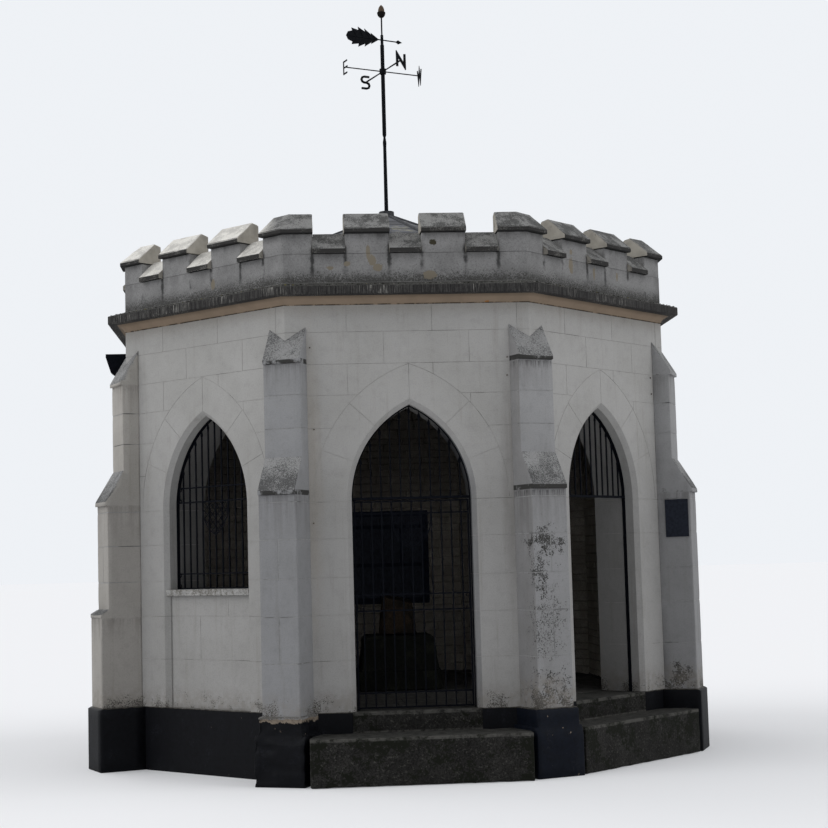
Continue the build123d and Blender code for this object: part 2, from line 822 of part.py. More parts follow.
# Downpipe: a round pipe below the hopper, on brackets that stand on the wall
with BuildPart() as downpipe:
    pipe_foot = side_plane(left, apothem + downpipe_stand_off).from_local_coords(
        Vector(hopper_position, downpipe_foot, 0))
    pipe_length = hopper_top - hopper_height - downpipe_foot
    bracket_count = int(pipe_length / bracket_spacing)
    for index in range(bracket_count):
        with BuildSketch(side_plane(left, apothem)):
            with Locations((hopper_position, downpipe_foot + (index + 0.5) * bracket_spacing)):
                Rectangle(bracket_width, bracket_height)
        extrude(amount=downpipe_stand_off)
    with BuildSketch(Plane(origin=pipe_foot, z_dir=(0, 0, 1))):
        RegularPolygon(downpipe_radius, turned_flats)
    extrude(amount=pipe_length)
    with BuildSketch(Plane(origin=pipe_foot, z_dir=(0, 0, 1))):
        RegularPolygon(downpipe_bore, turned_flats)
    extrude(amount=pipe_length, mode=Mode.SUBTRACT)
finish(downpipe.part, "downpipe")

# Old cross: the socket stone and the stump of its tapering shaft
socket_shoulder = socket_top_width + 2 * socket_batter
shoulder_height = socket_height - socket_base_height
with BuildPart() as cross_socket:
    with BuildSketch(Plane.XY.offset(floor_level)):
        Rectangle(socket_width, socket_width)
    extrude(amount=socket_base_height)
    with BuildSketch(Plane.XY.offset(floor_level + socket_base_height)):
        Rectangle(socket_shoulder, socket_shoulder)
    extrude(amount=shoulder_height, taper=degrees(atan2(socket_batter, shoulder_height)))
    chamfer(cross_socket.faces().sort_by(Axis.Z)[-1].edges(), length=socket_round)
finish(cross_socket.part, "cross_socket")

shaft_batter = (shaft_width - shaft_top_width) / 2
with BuildPart() as cross_shaft:
    with BuildSketch(Plane.XY.offset(floor_level + socket_height)) as shaft_plan:
        Rectangle(shaft_width, shaft_width)
        chamfer(shaft_plan.vertices(), length=shaft_chamfer)
    extrude(amount=shaft_height, taper=degrees(atan2(shaft_batter, shaft_height)))
    break_height = floor_level + socket_height + shaft_height - shaft_break_fall / 2
    split(bisect_by=Plane(origin=(0, 0, break_height),
                          z_dir=(shaft_break_fall, -shaft_break_fall / 2, shaft_top_width)),
          keep=Keep.BOTTOM)
finish(cross_shaft.part, "cross_shaft")

def turned(profile):
    """A turned form with flats round it, through (reach, height) points in rising order."""
    widest = max(reach for reach, height in profile)
    edges = outline(*profile, *[(-reach, height) for reach, height in reversed(profile)])
    with BuildPart() as form:
        for index in range(turned_flats // 2):
            with BuildSketch(section_plane(index * 360 / turned_flats)):
                add(edges)
            extrude(amount=2 * widest, both=True, mode=Mode.INTERSECT if index else Mode.ADD)
    return form.part


# Weathervane pole: a lower length, a necked coupling, an upper length and a slim round spindle
coupling_base = coupling_height - coupling_length
with BuildPart() as vane_pole:
    add(turned([(pole_radius, pole_base), (lower_pole_radius, coupling_base),
                (coupling_radius, coupling_base + 0.35 * coupling_length),
                (coupling_neck_radius, coupling_base + 0.8 * coupling_length),
                (pole_radius, coupling_height), (pole_radius, pole_top)]))
    with Locations((0, 0, pole_top)):
        Cylinder(spindle_radius, spindle_length, align=(Align.CENTER, Align.CENTER, Align.MIN))
finish(vane_pole.part, "vane_pole")

# Acorn finial: a rounded cup, and the nut standing out of it to a blunt point
cup_height = 0.42 * acorn_height
cup_top = spindle_top + cup_height
nut_radius = 0.8 * acorn_radius
nut_height = acorn_height - cup_height
round_steps = [radians(30 * step) for step in range(1, 3)]
cup_curve = [(acorn_radius * sin(turn), cup_top - cup_height * cos(turn)) for turn in round_steps]
nut_curve = [(nut_radius * cos(turn), cup_top + 0.94 * nut_height * sin(turn))
             for turn in round_steps]
with BuildPart() as acorn_finial:
    add(turned([(spindle_radius, spindle_top), *cup_curve, (acorn_radius, cup_top),
                (nut_radius, cup_top), *nut_curve, (acorn_tip_radius, spindle_top + acorn_height)]))
finish(acorn_finial.part, "acorn_finial")


def cardinal_letter(letter):
    """A compass letter in bent flat bar, its middle at the origin."""
    x = (letter_width - letter_stroke) / 2
    y = (letter_height - letter_stroke) / 2
    curl = [(y / 2 * sin(radians(turn)), y / 2 * (1 + cos(radians(turn))))
            for turn in range(0, 181, 45)]
    strokes = {"N": [(-x, -y), (-x, y), (x, -y), (x, y)],
               "E": [(x, y), (-x, y), (-x, -y), (x, -y)],
               "S": [(x, y), *[(-x / 3 - out, up) for out, up in curl],
                     *[(x / 3 + out, up - y) for out, up in curl], (-x, -y)],
               "W": [(-x, y), (-x / 2, -y), (0, y), (x / 2, -y), (x, y)]}
    with BuildSketch() as shape:
        with BuildLine():
            Polyline(*strokes[letter])
        trace(line_width=letter_stroke)
        if letter == "E":
            Rectangle(letter_width, letter_stroke)
    return shape.sketch


# Cardinal arms: a hub on the pole, and four rods that each carry a letter set across them
with BuildPart() as cardinal_arms:
    with BuildSketch(Plane.XY.offset(arm_height)):
        RegularPolygon(hub_radius, turned_flats, major_radius=False, rotation=half_flat)
    extrude(amount=hub_length / 2, both=True)
    for letter, turn in (("N", 0), ("E", -90), ("S", 180), ("W", 90)):
        letter_face = side_plane(north_heading + turn, arm_length)
        with BuildSketch(Plane(origin=(0, 0, arm_height), z_dir=letter_face.z_dir)):
            RegularPolygon(arm_radius, rod_flats)
        extrude(amount=arm_length)
        if letter == "S":
            letter_face = Plane(origin=letter_face.origin, x_dir=-letter_face.x_dir,
                                z_dir=-letter_face.z_dir)
        with BuildSketch(letter_face):
            with Locations((0, arm_height)):
                add(cardinal_letter(letter))
        extrude(amount=letter_thickness / 2, both=True)
    with BuildSketch(Plane.XY.offset(arm_height)):
        RegularPolygon(pole_radius + fit_gap, turned_flats, major_radius=False, rotation=half_flat)
    extrude(amount=hub_length, both=True, mode=Mode.SUBTRACT)
finish(cardinal_arms.part, "cardinal_arms")


def oak_leaf():
    """An oak leaf from its stem at the origin to its tip, with lobes that lean to the tip."""
    spread = oak_leaf_length / (oak_lobes + 1)
    upper_edge = [(0, vane_rod_radius)]
    for index in range(oak_lobes):
        root = index * spread
        swell = sin(radians(180 * (root + 1.15 * spread) / (oak_leaf_length + spread)))
        upper_edge += [(root + 1.15 * spread, oak_leaf_width / 2 * swell),
                       (root + 1.05 * spread, oak_leaf_width / 3 * swell)]
    upper_edge += [(oak_leaf_length - 0.3 * spread, oak_leaf_width / 5)]
    lower_edge = [(x, -y) for x, y in reversed(upper_edge)]
    return outline(*upper_edge, (oak_leaf_length, 0), *lower_edge)


# Vane: an oak leaf for a tail and an arrow ahead of it, on a sleeve that turns on the spindle
vane_turn = radians(vane_heading)
vane_plane = Plane(origin=(0, 0, vane_height), x_dir=(cos(vane_turn), sin(vane_turn), 0),
                   z_dir=(sin(vane_turn), -cos(vane_turn), 0))
with BuildPart() as vane_arrow:
    with BuildSketch(Plane.XY.offset(pole_top + fit_gap)):
        Circle(sleeve_radius)
    extrude(amount=sleeve_length)
    with BuildSketch(vane_plane):
        with Locations((-leaf_stem, 0)):
            add(oak_leaf(), rotation=180)
        add(outline((arrow_reach, 0), (arrow_reach - 0.6 * arrow_head_length, arrow_head_width / 2),
                    (arrow_reach - arrow_head_length, 0),
                    (arrow_reach - 0.6 * arrow_head_length, -arrow_head_width / 2)))
    extrude(amount=vane_plate / 2, both=True)
    rod_start = -leaf_stem - 0.8 * oak_leaf_length
    rod_end = arrow_reach - arrow_head_length / 2
    with BuildSketch(Plane(origin=vane_plane.from_local_coords(Vector(rod_start, 0, 0)),
                           z_dir=vane_plane.x_dir)):
        Circle(vane_rod_radius)
    extrude(amount=rod_end - rod_start)
    with BuildSketch(Plane.XY.offset(pole_top)):
        Circle(spindle_radius + bearing_clearance)
    extrude(amount=2 * sleeve_length, mode=Mode.SUBTRACT)
finish(vane_arrow.part, "vane_arrow")
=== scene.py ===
import random
from functools import reduce
from math import acos, cos, pi, radians, sin, sqrt, tan

import bmesh
import bpy
from mathutils import Matrix, Vector, noise


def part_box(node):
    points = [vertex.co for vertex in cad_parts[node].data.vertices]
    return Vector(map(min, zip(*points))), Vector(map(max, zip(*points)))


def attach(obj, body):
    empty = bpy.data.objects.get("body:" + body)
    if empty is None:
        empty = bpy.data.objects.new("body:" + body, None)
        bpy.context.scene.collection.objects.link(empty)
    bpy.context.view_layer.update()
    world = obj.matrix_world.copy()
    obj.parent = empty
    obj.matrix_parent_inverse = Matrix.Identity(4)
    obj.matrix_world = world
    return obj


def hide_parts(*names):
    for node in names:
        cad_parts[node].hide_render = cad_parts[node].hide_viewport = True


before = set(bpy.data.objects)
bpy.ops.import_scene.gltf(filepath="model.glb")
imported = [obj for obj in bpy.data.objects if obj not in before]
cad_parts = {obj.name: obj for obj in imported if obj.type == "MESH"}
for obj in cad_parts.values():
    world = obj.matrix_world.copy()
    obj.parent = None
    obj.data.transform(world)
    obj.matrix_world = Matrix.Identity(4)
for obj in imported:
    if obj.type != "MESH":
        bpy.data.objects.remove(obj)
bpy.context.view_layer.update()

# Sizes taken from the frame, in metres
HALF_STEP = radians(22.5)
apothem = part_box("wall_right")[1].x
inner_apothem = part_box("wall_right")[0].x
corner_radius = apothem / cos(HALF_STEP)
half_side = apothem * tan(HALF_STEP)
floor_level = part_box("floor")[1].z
wall_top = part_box("wall_right")[1].z
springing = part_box("front_pier_right")[1].z
half_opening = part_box("front_pier_right")[0].x
cornice_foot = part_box("cornice")[0].z
cornice_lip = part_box("cornice")[1].x
roof_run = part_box("roof")[1].x
roof_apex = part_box("roof")[1].z
roof_eaves = wall_top + 0.05
parapet_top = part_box("parapet_wall")[1].z
merlon_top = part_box("merlons")[1].z

# The arches are struck from two centres on the springing line
ARCH_CENTRE_OFFSET = 0.438
ARRIS_CHAMFER = 0.045
VOUSSOIR_RING = 0.322
RADIAL_JOINTS = (radians(20.5), radians(42.5))

# Headings of the eight sides and of the eight corners, in degrees from +X
PLAIN_SIDES = {"right": 0, "back_right": 45, "back": 90, "back_left": 135, "left": 180}
ARCHED_SIDES = {"front": -90, "doorway": -45, "window": 225}
CORNERS = {"front_left": 247.5, "front_right": 292.5, "right_front": 337.5, "right_back": 22.5,
           "back_right": 67.5, "back_left": 112.5, "left_back": 157.5, "left_front": 202.5}
NORTH_HEADING = 292.5
VANE_HEADING = 24.6

# Buttresses: their faces' distances beyond the corner, and the heights of their ledges
BUTTRESS_HALF_WIDTH = 0.194
UPPER_REACH, LOWER_REACH = 0.098, 0.273
UPPER_LEDGE, LOWER_LEDGE, SPREAD_LEDGE = 4.008, 2.735, 1.570
WEATHERING_TOP = 3.1
LEDGE_EDGE = 0.045

# Battlements: the middles of the gaps lie a pitch apart
CRENEL_PITCH = 0.7551
CRENEL_HALF_WIDTH = 0.151

# Incised joints that divide the render into blocks
JOINT_WIDTH = 0.004
JOINT_DEPTH = 0.0025
GAP = JOINT_WIDTH / 2
COURSE_DEPTHS = (0.489, 0.438, 0.358, 0.374, 0.356, 0.372, 0.341, 0.323, 0.305, 0.315)
BLOCK_LENGTH = 0.84
BLOCK_SHIFTS = (-0.240, -0.600)
SHORTEST_JOINT = 0.05
REVEAL_REACH = 0.45
APRON_SETBACK = 0.060
APRON_TOP = 1.780

# There are no joints this near to the corners and ledges, or on the left buttress's spread foot
CORNER_CLEARANCE = 0.08
LEDGE_CLEARANCE = 0.03
PLAIN_FOOT_TOP = 1.8

# The cutters reach from a joint's depth to a little out of the face
OVERSHOOT = 0.02
IN_FACE = (-JOINT_DEPTH, OVERSHOOT)

course_joints = [floor_level + sum(COURSE_DEPTHS[:row + 1]) for row in range(len(COURSE_DEPTHS))]

# How far out a face looks: reveals give more than the first, and the room's faces less than
# the second
INWARD = (-1.7, -1.9)

# Worn pieces: the rounding, the cells' size, the wear, its wavelength and the arrises' wear
WORN = {"cornice": (0.006, 0.16, 0.002, 0.4, 0.007), "parapet_wall": (0, 0.2, 0.001, 0.5, 0.001),
        "crenel_copings": (0.007, 0.075, 0.003, 0.13, 0.010),
        "merlon_copings": (0.007, 0.075, 0.003, 0.13, 0.010),
        "merlons": (0.006, 0.12, 0.002, 0.3, 0.006),
        "lower_steps": (0.014, 0.055, 0.010, 0.11, 0.016),
        "thresholds": (0.01, 0.06, 0.005, 0.12, 0.010),
        "window_sill": (0.008, 0.04, 0.005, 0.07, 0.012),
        "cross_socket": (0.02, 0.07, 0.012, 0.2, 0.03),
        "cross_shaft": (0.012, 0.045, 0.012, 0.14, 0.02)}

# Paint and stone tones
RENDER_WHITE = (0.396, 0.390, 0.379)
RENDER_GREY = (0.322, 0.322, 0.325)
RENDER_BLUE_GREY = (0.300, 0.302, 0.308)
RENDER_BROWN = (0.400, 0.382, 0.355)
DAMP_BROWN = (0.19, 0.17, 0.145)
BITUMEN = (0.0030, 0.0034, 0.0050)
BLUE_BITUMEN = (0.0028, 0.0046, 0.0095)
OLD_RENDER = (0.23, 0.19, 0.15)
SOOT = (0.045, 0.044, 0.042)

# What the photograph shows on single buttresses. Mould has a centre, radii and an amount.
BUTTRESS_LOOKS = {
    "left_front": dict(tone=RENDER_BROWN, crust=0.0,
                       ledges=((LOWER_LEDGE, 0.5), (UPPER_LEDGE, 0.4), (SPREAD_LEDGE, 0.3))),
    "front_left": dict(tone=RENDER_BLUE_GREY, grime=0.4, chips=0.42, crust=0.75, crumbling=1.0),
    "front_right": dict(grime=0.9, chips=0.42, crust=1.0, drips=0.6, base=BLUE_BITUMEN,
                        mould=(((1.25, -3.17, 2.24), (0.30, 0.20, 0.16), 0.95),
                               ((1.19, -3.20, 1.95), (0.13, 0.12, 0.42), 0.70),
                               ((1.25, -3.17, 1.45), (0.26, 0.20, 0.55), 0.40),
                               ((1.25, -3.17, 0.80), (0.34, 0.22, 0.26), 0.72))),
    "right_front": dict(grime=0.8, crust=0.35, shaded_and_stained_faces=(),
                        mould=(((2.917, -1.418, 0.80), (0.17, 0.17, 0.20), 0.85),
                               ((2.85, -1.39, 0.68), (0.30, 0.20, 0.09), 0.60)))}

# Bare patches on the battlements: centre and radii
BARE_PATCHES = (
    (1.731, -2.37, 5.04, 0.04, 0.04, 0.085), (1.737, -2.364, 5.181, 0.025, 0.025, 0.03),
    (2.021, -2.081, 5.00, 0.020, 0.020, 0.07), (2.32, -1.78, 5.02, 0.02, 0.02, 0.05),
    (-1.918, -2.183, 4.925, 0.03, 0.03, 0.055), (-0.368, -2.9, 5.11, 0.022, 0.05, 0.075),
    (-0.330, -2.9, 5.02, 0.038, 0.05, 0.06), (-0.280, -2.9, 4.955, 0.055, 0.05, 0.040),
    (-0.745, -2.9, 4.955, 0.035, 0.05, 0.02), (0.236, -2.9, 4.875, 0.07, 0.05, 0.045),
    (-0.577, -2.9, 4.992, 0.04, 0.05, 0.025), (2.9, 0.45, 5.05, 0.05, 0.05, 0.07))

# Iron stubs in the walls: the side's heading, the place across it and the height
WALL_STUBS = ((-90, 0.972, 4.045), (-90, 0.966, 3.867), (-90, -0.960, 4.171), (-90, -0.958, 2.462),
              (-90, -0.936, 3.371), (-45, 0.953, 3.801), (-45, 0.946, 3.975), (-45, -0.956, 4.10),
              (225, 0.958, 3.62), (0, 0.95, 3.9), (90, -0.955, 3.85))


def placed(heading, distance=0.0):
    """A function from (across, outward, up), on a plane across a heading, to the frame."""
    turn = radians(heading)

    def place(across, outward, up):
        reach = distance + outward
        return Vector((reach * cos(turn) - across * sin(turn),
                       reach * sin(turn) + across * cos(turn), up))
    return place


class Shape:
    """Closed solids gathered into one mesh."""

    def __init__(self):
        self.points = []
        self.faces = []

    def prism(self, lower, upper):
        """A closed solid between two rings of points."""
        start, count = len(self.points), len(lower)
        self.points += [tuple(point) for point in (*lower, *upper)]
        self.faces.append([start + index for index in reversed(range(count))])
        self.faces.append([start + count + index for index in range(count)])
        for index in range(count):
            after = (index + 1) % count
            self.faces.append([start + index, start + after,
                               start + count + after, start + count + index])

    def box(self, place, across, outward, up):
        """A box between two values of each of its three measures."""
        corners = ((0, 0), (1, 0), (1, 1), (0, 1))
        self.prism(*[[place(across[a], outward[b], height) for a, b in corners] for height in up])

    def plate(self, place, outline, outward):
        """An (across, up) outline given thickness between two distances."""
        self.prism(*[[place(x, distance, z) for x, z in outline] for distance in outward])

    def stud(self, place, across, up, radius, outward):
        """A short eight-sided pin that points outwards."""
        outline = [(across + radius * cos(pi / 4 * index), up + radius * sin(pi / 4 * index))
                   for index in range(8)]
        self.plate(place, outline, outward)

    def turned(self, profile, count, ripple=lambda turn, height: 0.0, middle=(0.0, 0.0)):
        """A closed form turned about an upright line through (radius, height) points."""
        start = len(self.points)
        for radius, height in profile:
            for index in range(count):
                turn = 2 * pi * index / count
                reach = radius + ripple(turn, height)
                self.points.append((middle[0] + reach * cos(turn), middle[1] + reach * sin(turn),
                                    height))
        for row in range(len(profile) - 1):
            for index in range(count):
                here = start + row * count + index
                after = start + row * count + (index + 1) % count
                self.faces.append([here, after, after + count, here + count])
        last = start + (len(profile) - 1) * count
        self.faces.append([start + index for index in reversed(range(count))])
        self.faces.append([last + index for index in range(count)])

    def lump(self, centre, radii, draw):
        """A small uneven lump with eight faces."""
        start = len(self.points)
        for axis in range(3):
            for sign in (-1, 1):
                point = list(centre)
                point[axis] += sign * radii[axis] * draw.uniform(0.6, 1.0)
                self.points.append(tuple(point))
        self.faces += [[start + a, start + b, start + c]
                       for a in (0, 1) for b in (2, 3) for c in (4, 5)]

    def mesh(self):
        """The solids as a bmesh with its normals outwards."""
        work = bmesh.new()
        points = [work.verts.new(point) for point in self.points]
        for face in self.faces:
            work.faces.new([points[index] for index in face])
        bmesh.ops.recalc_face_normals(work, faces=work.faces)
        return work


def copy_of(node):
    """A bmesh in the place of a CAD node, welded, with its flat faces whole."""
    work = bmesh.new()
    work.from_mesh(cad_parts[node].data)
    bmesh.ops.remove_doubles(work, verts=work.verts, dist=1e-5)
    bmesh.ops.dissolve_limit(work, angle_limit=radians(0.4), verts=work.verts, edges=work.edges)
    return work


def shade_smooth(data, angle):
    """Smooth shading, apart from edges sharper than an angle in degrees."""
    for face in data.polygons:
        face.use_smooth = True
    data.set_sharp_from_angle(angle=radians(angle))


def object_of(name, work, materials):
    """A new object with the mesh of a bmesh."""
    data = bpy.data.meshes.new(name)
    work.to_mesh(data)
    work.free()
    for material in materials:
        data.materials.append(material)
    made = bpy.data.objects.new(name, data)
    bpy.context.scene.collection.objects.link(made)
    return made


def piece(name, work, materials, slot, replaces=(), body="building"):
    """Makes a shown object of a bmesh, which rides on a body."""
    made = object_of(name, work, materials)
    stored_normals = made.data.attributes.get("custom_normal")
    if stored_normals:
        made.data.attributes.remove(stored_normals)
    shade_smooth(made.data, 30)
    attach(made, body)
    if replaces:
        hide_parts(*replaces)
    return made


def cut(target, *cutters):
    """Cuts shapes out of an object. The cut faces take the object's second material."""
    for cutter in cutters:
        work = cutter.mesh()
        for face in work.faces:
            face.material_index = 1
        tool = object_of("cutter", work, target.data.materials)
        modifier = target.modifiers.new("cut", "BOOLEAN")
        modifier.operation = "DIFFERENCE"
        modifier.solver = "EXACT"
        modifier.object = tool
        depsgraph = bpy.context.evaluated_depsgraph_get()
        result = bpy.data.meshes.new_from_object(target.evaluated_get(depsgraph))
        target.modifiers.clear()
        target.data = result
        bpy.data.objects.remove(tool)
    shade_smooth(target.data, 25)


def soften(work, width, angle=40, above=-1.0, segments=2):
    """Rounds every arris that is sharper than an angle and lies above a height."""
    work.normal_update()
    edges = [edge for edge in work.edges
             if len(edge.link_faces) == 2 and edge.calc_face_angle(0) > radians(angle)
             and min(vertex.co.z for vertex in edge.verts) > above]
    bmesh.ops.bevel(work, geom=edges, offset=width, segments=segments, profile=0.6, affect="EDGES",
                    clamp_overlap=True)


def divide(work, spacing, top=100.0):
    """Cuts the faces below a height into cells of about a size, so that they can be worn."""
    for axis in range(3):
        values = [vertex.co[axis] for vertex in work.verts if vertex.co.z <= top]
        low, high = min(values), max(values)
        count = int((high - low) / spacing)
        normal = Vector([float(axis == index) for index in range(3)])
        for index in range(1, count + 1):
            faces = [face for face in work.faces if face.calc_center_median().z <= top]
            edges = list({edge for face in faces for edge in face.edges})
            points = list({vertex for face in faces for vertex in face.verts})
            bmesh.ops.bisect_plane(work, geom=points + edges + faces, dist=1e-5,
                                   plane_co=normal * (low + (high - low) * index / (count + 1)),
                                   plane_no=normal)


def wear(work, depth, wavelength, arris_depth):
    """Moves the points inwards by smooth noise, and by more along the arrises."""
    work.normal_update()
    for vertex in work.verts:
        on_arris = any(len(edge.link_faces) == 2 and edge.calc_face_angle(0) > radians(25)
                       for edge in vertex.link_edges)
        broad = noise.noise(vertex.co / wavelength)
        fine = noise.noise(vertex.co * 3.1 / wavelength)
        share = min(max(0.5 + 0.45 * broad + 0.25 * fine, 0.0), 1.0)
        vertex.co -= vertex.normal * share * (arris_depth if on_arris else depth)


def weathered(work, arris, spacing, depth, wavelength, arris_depth):
    """Softens, divides and wears a bmesh."""
    if arris:
        soften(work, arris)
    divide(work, spacing)
    wear(work, depth, wavelength, arris_depth)
    return work


class Finish:
    """A procedural material whose patterns follow positions in the frame."""

    def __init__(self, name, tone, roughness=0.9, specular=0.1):
        self.material = bpy.data.materials.new(name)
        self.material.use_nodes = True
        self.nodes = self.material.node_tree.nodes
        self.links = self.material.node_tree.links
        self.shader = self.nodes["Principled BSDF"]
        self.shader.inputs["Roughness"].default_value = roughness
        self.shader.inputs["Specular IOR Level"].default_value = specular
        source = self.nodes.new("ShaderNodeTexCoord")
        self.position, self.normal = source.outputs["Object"], source.outputs["Normal"]
        self.height, self.slope = self.part(self.position, "Z"), self.part(self.normal, "Z")
        self.island = self.nodes.new("ShaderNodeNewGeometry").outputs["Random Per Island"]
        self.colour = tone
        self.relief = None

    def feed(self, socket, value):
        """Links an output to a socket, or sets a number or colour on it."""
        if isinstance(value, bpy.types.NodeSocket):
            self.links.new(value, socket)
        else:
            socket.default_value = (*value, 1.0) if isinstance(value, tuple) else value

    def math(self, operation, first, second=0.0):
        """A sum, product or other result of two numbers."""
        node = self.nodes.new("ShaderNodeMath")
        node.operation = operation
        self.feed(node.inputs[0], first)
        self.feed(node.inputs[1], second)
        return node.outputs[0]

    def add(self, first, second):
        """The sum of two numbers."""
        return self.math("ADD", first, second)

    def times(self, first, *others):
        """The product of masks or numbers."""
        for other in others:
            first = self.math("MULTIPLY", first, other)
        return first

    def either(self, first, second):
        """The larger of two masks."""
        return self.math("MAXIMUM", first, second)

    def vectors(self, operation, first, second=(0.0, 0.0, 0.0), output="Vector"):
        """A vector combined with a fixed one or another."""
        node = self.nodes.new("ShaderNodeVectorMath")
        node.operation = operation
        self.links.new(first, node.inputs[0])
        if isinstance(second, bpy.types.NodeSocket):
            self.links.new(second, node.inputs[1])
        else:
            node.inputs[1].default_value = second
        return node.outputs[output]

    def part(self, vector, axis):
        """One component of a vector."""
        node = self.nodes.new("ShaderNodeSeparateXYZ")
        self.links.new(vector, node.inputs[0])
        return node.outputs["XYZ".index(axis)]

    def plan(self):
        """The position with its height left out."""
        return self.vectors("MULTIPLY", self.position, (1.0, 1.0, 0.0))

    def noise(self, scale, detail=5, rough=0.6, stretch=None):
        """Cloudy noise between 0 and 1."""
        node = self.nodes.new("ShaderNodeTexNoise")
        source = self.vectors("MULTIPLY", self.position, stretch) if stretch else self.position
        self.links.new(source, node.inputs["Vector"])
        node.inputs["Scale"].default_value = scale
        node.inputs["Detail"].default_value = detail
        node.inputs["Roughness"].default_value = rough
        return node.outputs[0]

    def rise(self, value, start, end):
        """0 up to the start, 1 from the end, and smooth between. The end may be the lower one."""
        node = self.nodes.new("ShaderNodeMapRange")
        node.interpolation_type = "SMOOTHSTEP"
        self.feed(node.inputs["Value"], value)
        node.inputs["From Min"].default_value = start
        node.inputs["From Max"].default_value = end
        return node.outputs[0]

    def cloud(self, scale, start, end, detail=5, rough=0.6, stretch=None):
        """A mask of cloudy patches, from a range of the noise."""
        return self.rise(self.noise(scale, detail, rough, stretch), start, end)

    def at_height(self, start, end):
        """A mask that rises from one height to another, up or down."""
        return self.rise(self.height, start, end)

    def below(self, level, reach, height=None):
        """1 just under a level, fading to 0 a reach further down."""
        height = height or self.height
        return self.times(self.rise(height, level - reach, level),
                          self.rise(height, level + 0.004, level))

    def between(self, low, high, soft=0.004):
        """1 between two heights."""
        return self.times(self.at_height(low - soft, low), self.at_height(high + soft, high))

    def pits(self, scale, start, end):
        """A mask of small round spots in scattered cells."""
        node = self.nodes.new("ShaderNodeTexVoronoi")
        self.links.new(self.position, node.inputs["Vector"])
        node.inputs["Scale"].default_value = scale
        return self.rise(node.outputs["Distance"], start, end)

    def grains(self, amount, share, start=0.50, end=0.72):
        """Very fine grains, denser by a share where the amount is high."""
        return self.rise(self.add(self.noise(85, 4, 0.75), self.times(amount, share)), start, end)

    def specks(self, grain, amount):
        """Fine specks that crowd together where the amount is high, and none where it is 0."""
        level = self.add(self.noise(grain, 3, 0.7), self.times(amount, 0.26))
        return self.times(self.rise(level, 0.60, 0.70), self.rise(amount, 0.03, 0.25))

    def spot(self, centre, radii, ragged=0.5, grain=25, soft=0.1):
        """1 inside a ragged oval about a place."""
        offset = self.vectors("SUBTRACT", self.position, centre)
        scaled = self.vectors("MULTIPLY", offset, tuple(1 / radius for radius in radii))
        distance = self.vectors("LENGTH", scaled, output="Value")
        rough = self.times(self.math("SUBTRACT", self.noise(grain, 5, 0.7), 0.5), 4 * ragged)
        return self.rise(self.add(distance, rough), 1.0, 1.0 - soft)

    def faces_in(self):
        """1 on surfaces that face the axis of the building."""
        facing = self.vectors("DOT_PRODUCT", self.position, self.normal, "Value")
        outward = self.math("SUBTRACT", facing, self.times(self.height, self.slope))
        return self.rise(outward, *INWARD)

    def across(self, reach):
        """How far a point lies along its side of the octagon, from the side's middle."""
        heading = self.math("ARCTAN2", self.part(self.position, "Y"), self.part(self.position, "X"))
        folded = self.math("FLOORED_MODULO", self.add(heading, HALF_STEP), 2 * HALF_STEP)
        return self.times(self.math("TANGENT", self.math("SUBTRACT", folded, HALF_STEP)), reach)

    def mixed(self, mask, first, second, mode):
        """Two colours mixed by a mask."""
        node = self.nodes.new("ShaderNodeMix")
        node.data_type = "RGBA"
        node.blend_type = mode
        self.feed(node.inputs[0], mask)
        self.feed(node.inputs[6], first)
        self.feed(node.inputs[7], second)
        return node.outputs[2]

    def blend(self, mask, first, second):
        """The first colour where the mask is 0 and the second where it is 1."""
        return self.mixed(mask, first, second, "MIX")

    def shade(self, mask, colour, darkest):
        """A colour, multiplied down to a share of itself where the mask is 1."""
        return self.mixed(mask, colour, darkest if isinstance(darkest, tuple) else (darkest,) * 3,
                          "MULTIPLY")

    def cover(self, mask, colour):
        """Lays another colour over the finish where the mask is 1."""
        self.colour = self.blend(mask, self.colour, colour)

    def darken(self, mask, darkest):
        """Multiplies the finish down to a share of itself where the mask is 1."""
        self.colour = self.shade(mask, self.colour, darkest)

    def bump(self, depth, scale, detail, rough=0.6, stretch=None):
        """Adds fine relief of a depth in metres."""
        node = self.nodes.new("ShaderNodeBump")
        node.inputs["Strength"].default_value = 1.0
        node.inputs["Distance"].default_value = depth
        self.links.new(self.noise(scale, detail, rough, stretch), node.inputs["Height"])
        if self.relief:
            self.links.new(self.relief, node.inputs["Normal"])
        self.relief = node.outputs[0]

    def done(self, roughness=None):
        """Gives the shader its colour and relief, and returns the material."""
        self.feed(self.shader.inputs["Base Color"], self.colour)
        if roughness is not None:
            self.feed(self.shader.inputs["Roughness"], roughness)
        if self.relief:
            self.links.new(self.relief, self.shader.inputs["Normal"])
        return self.material


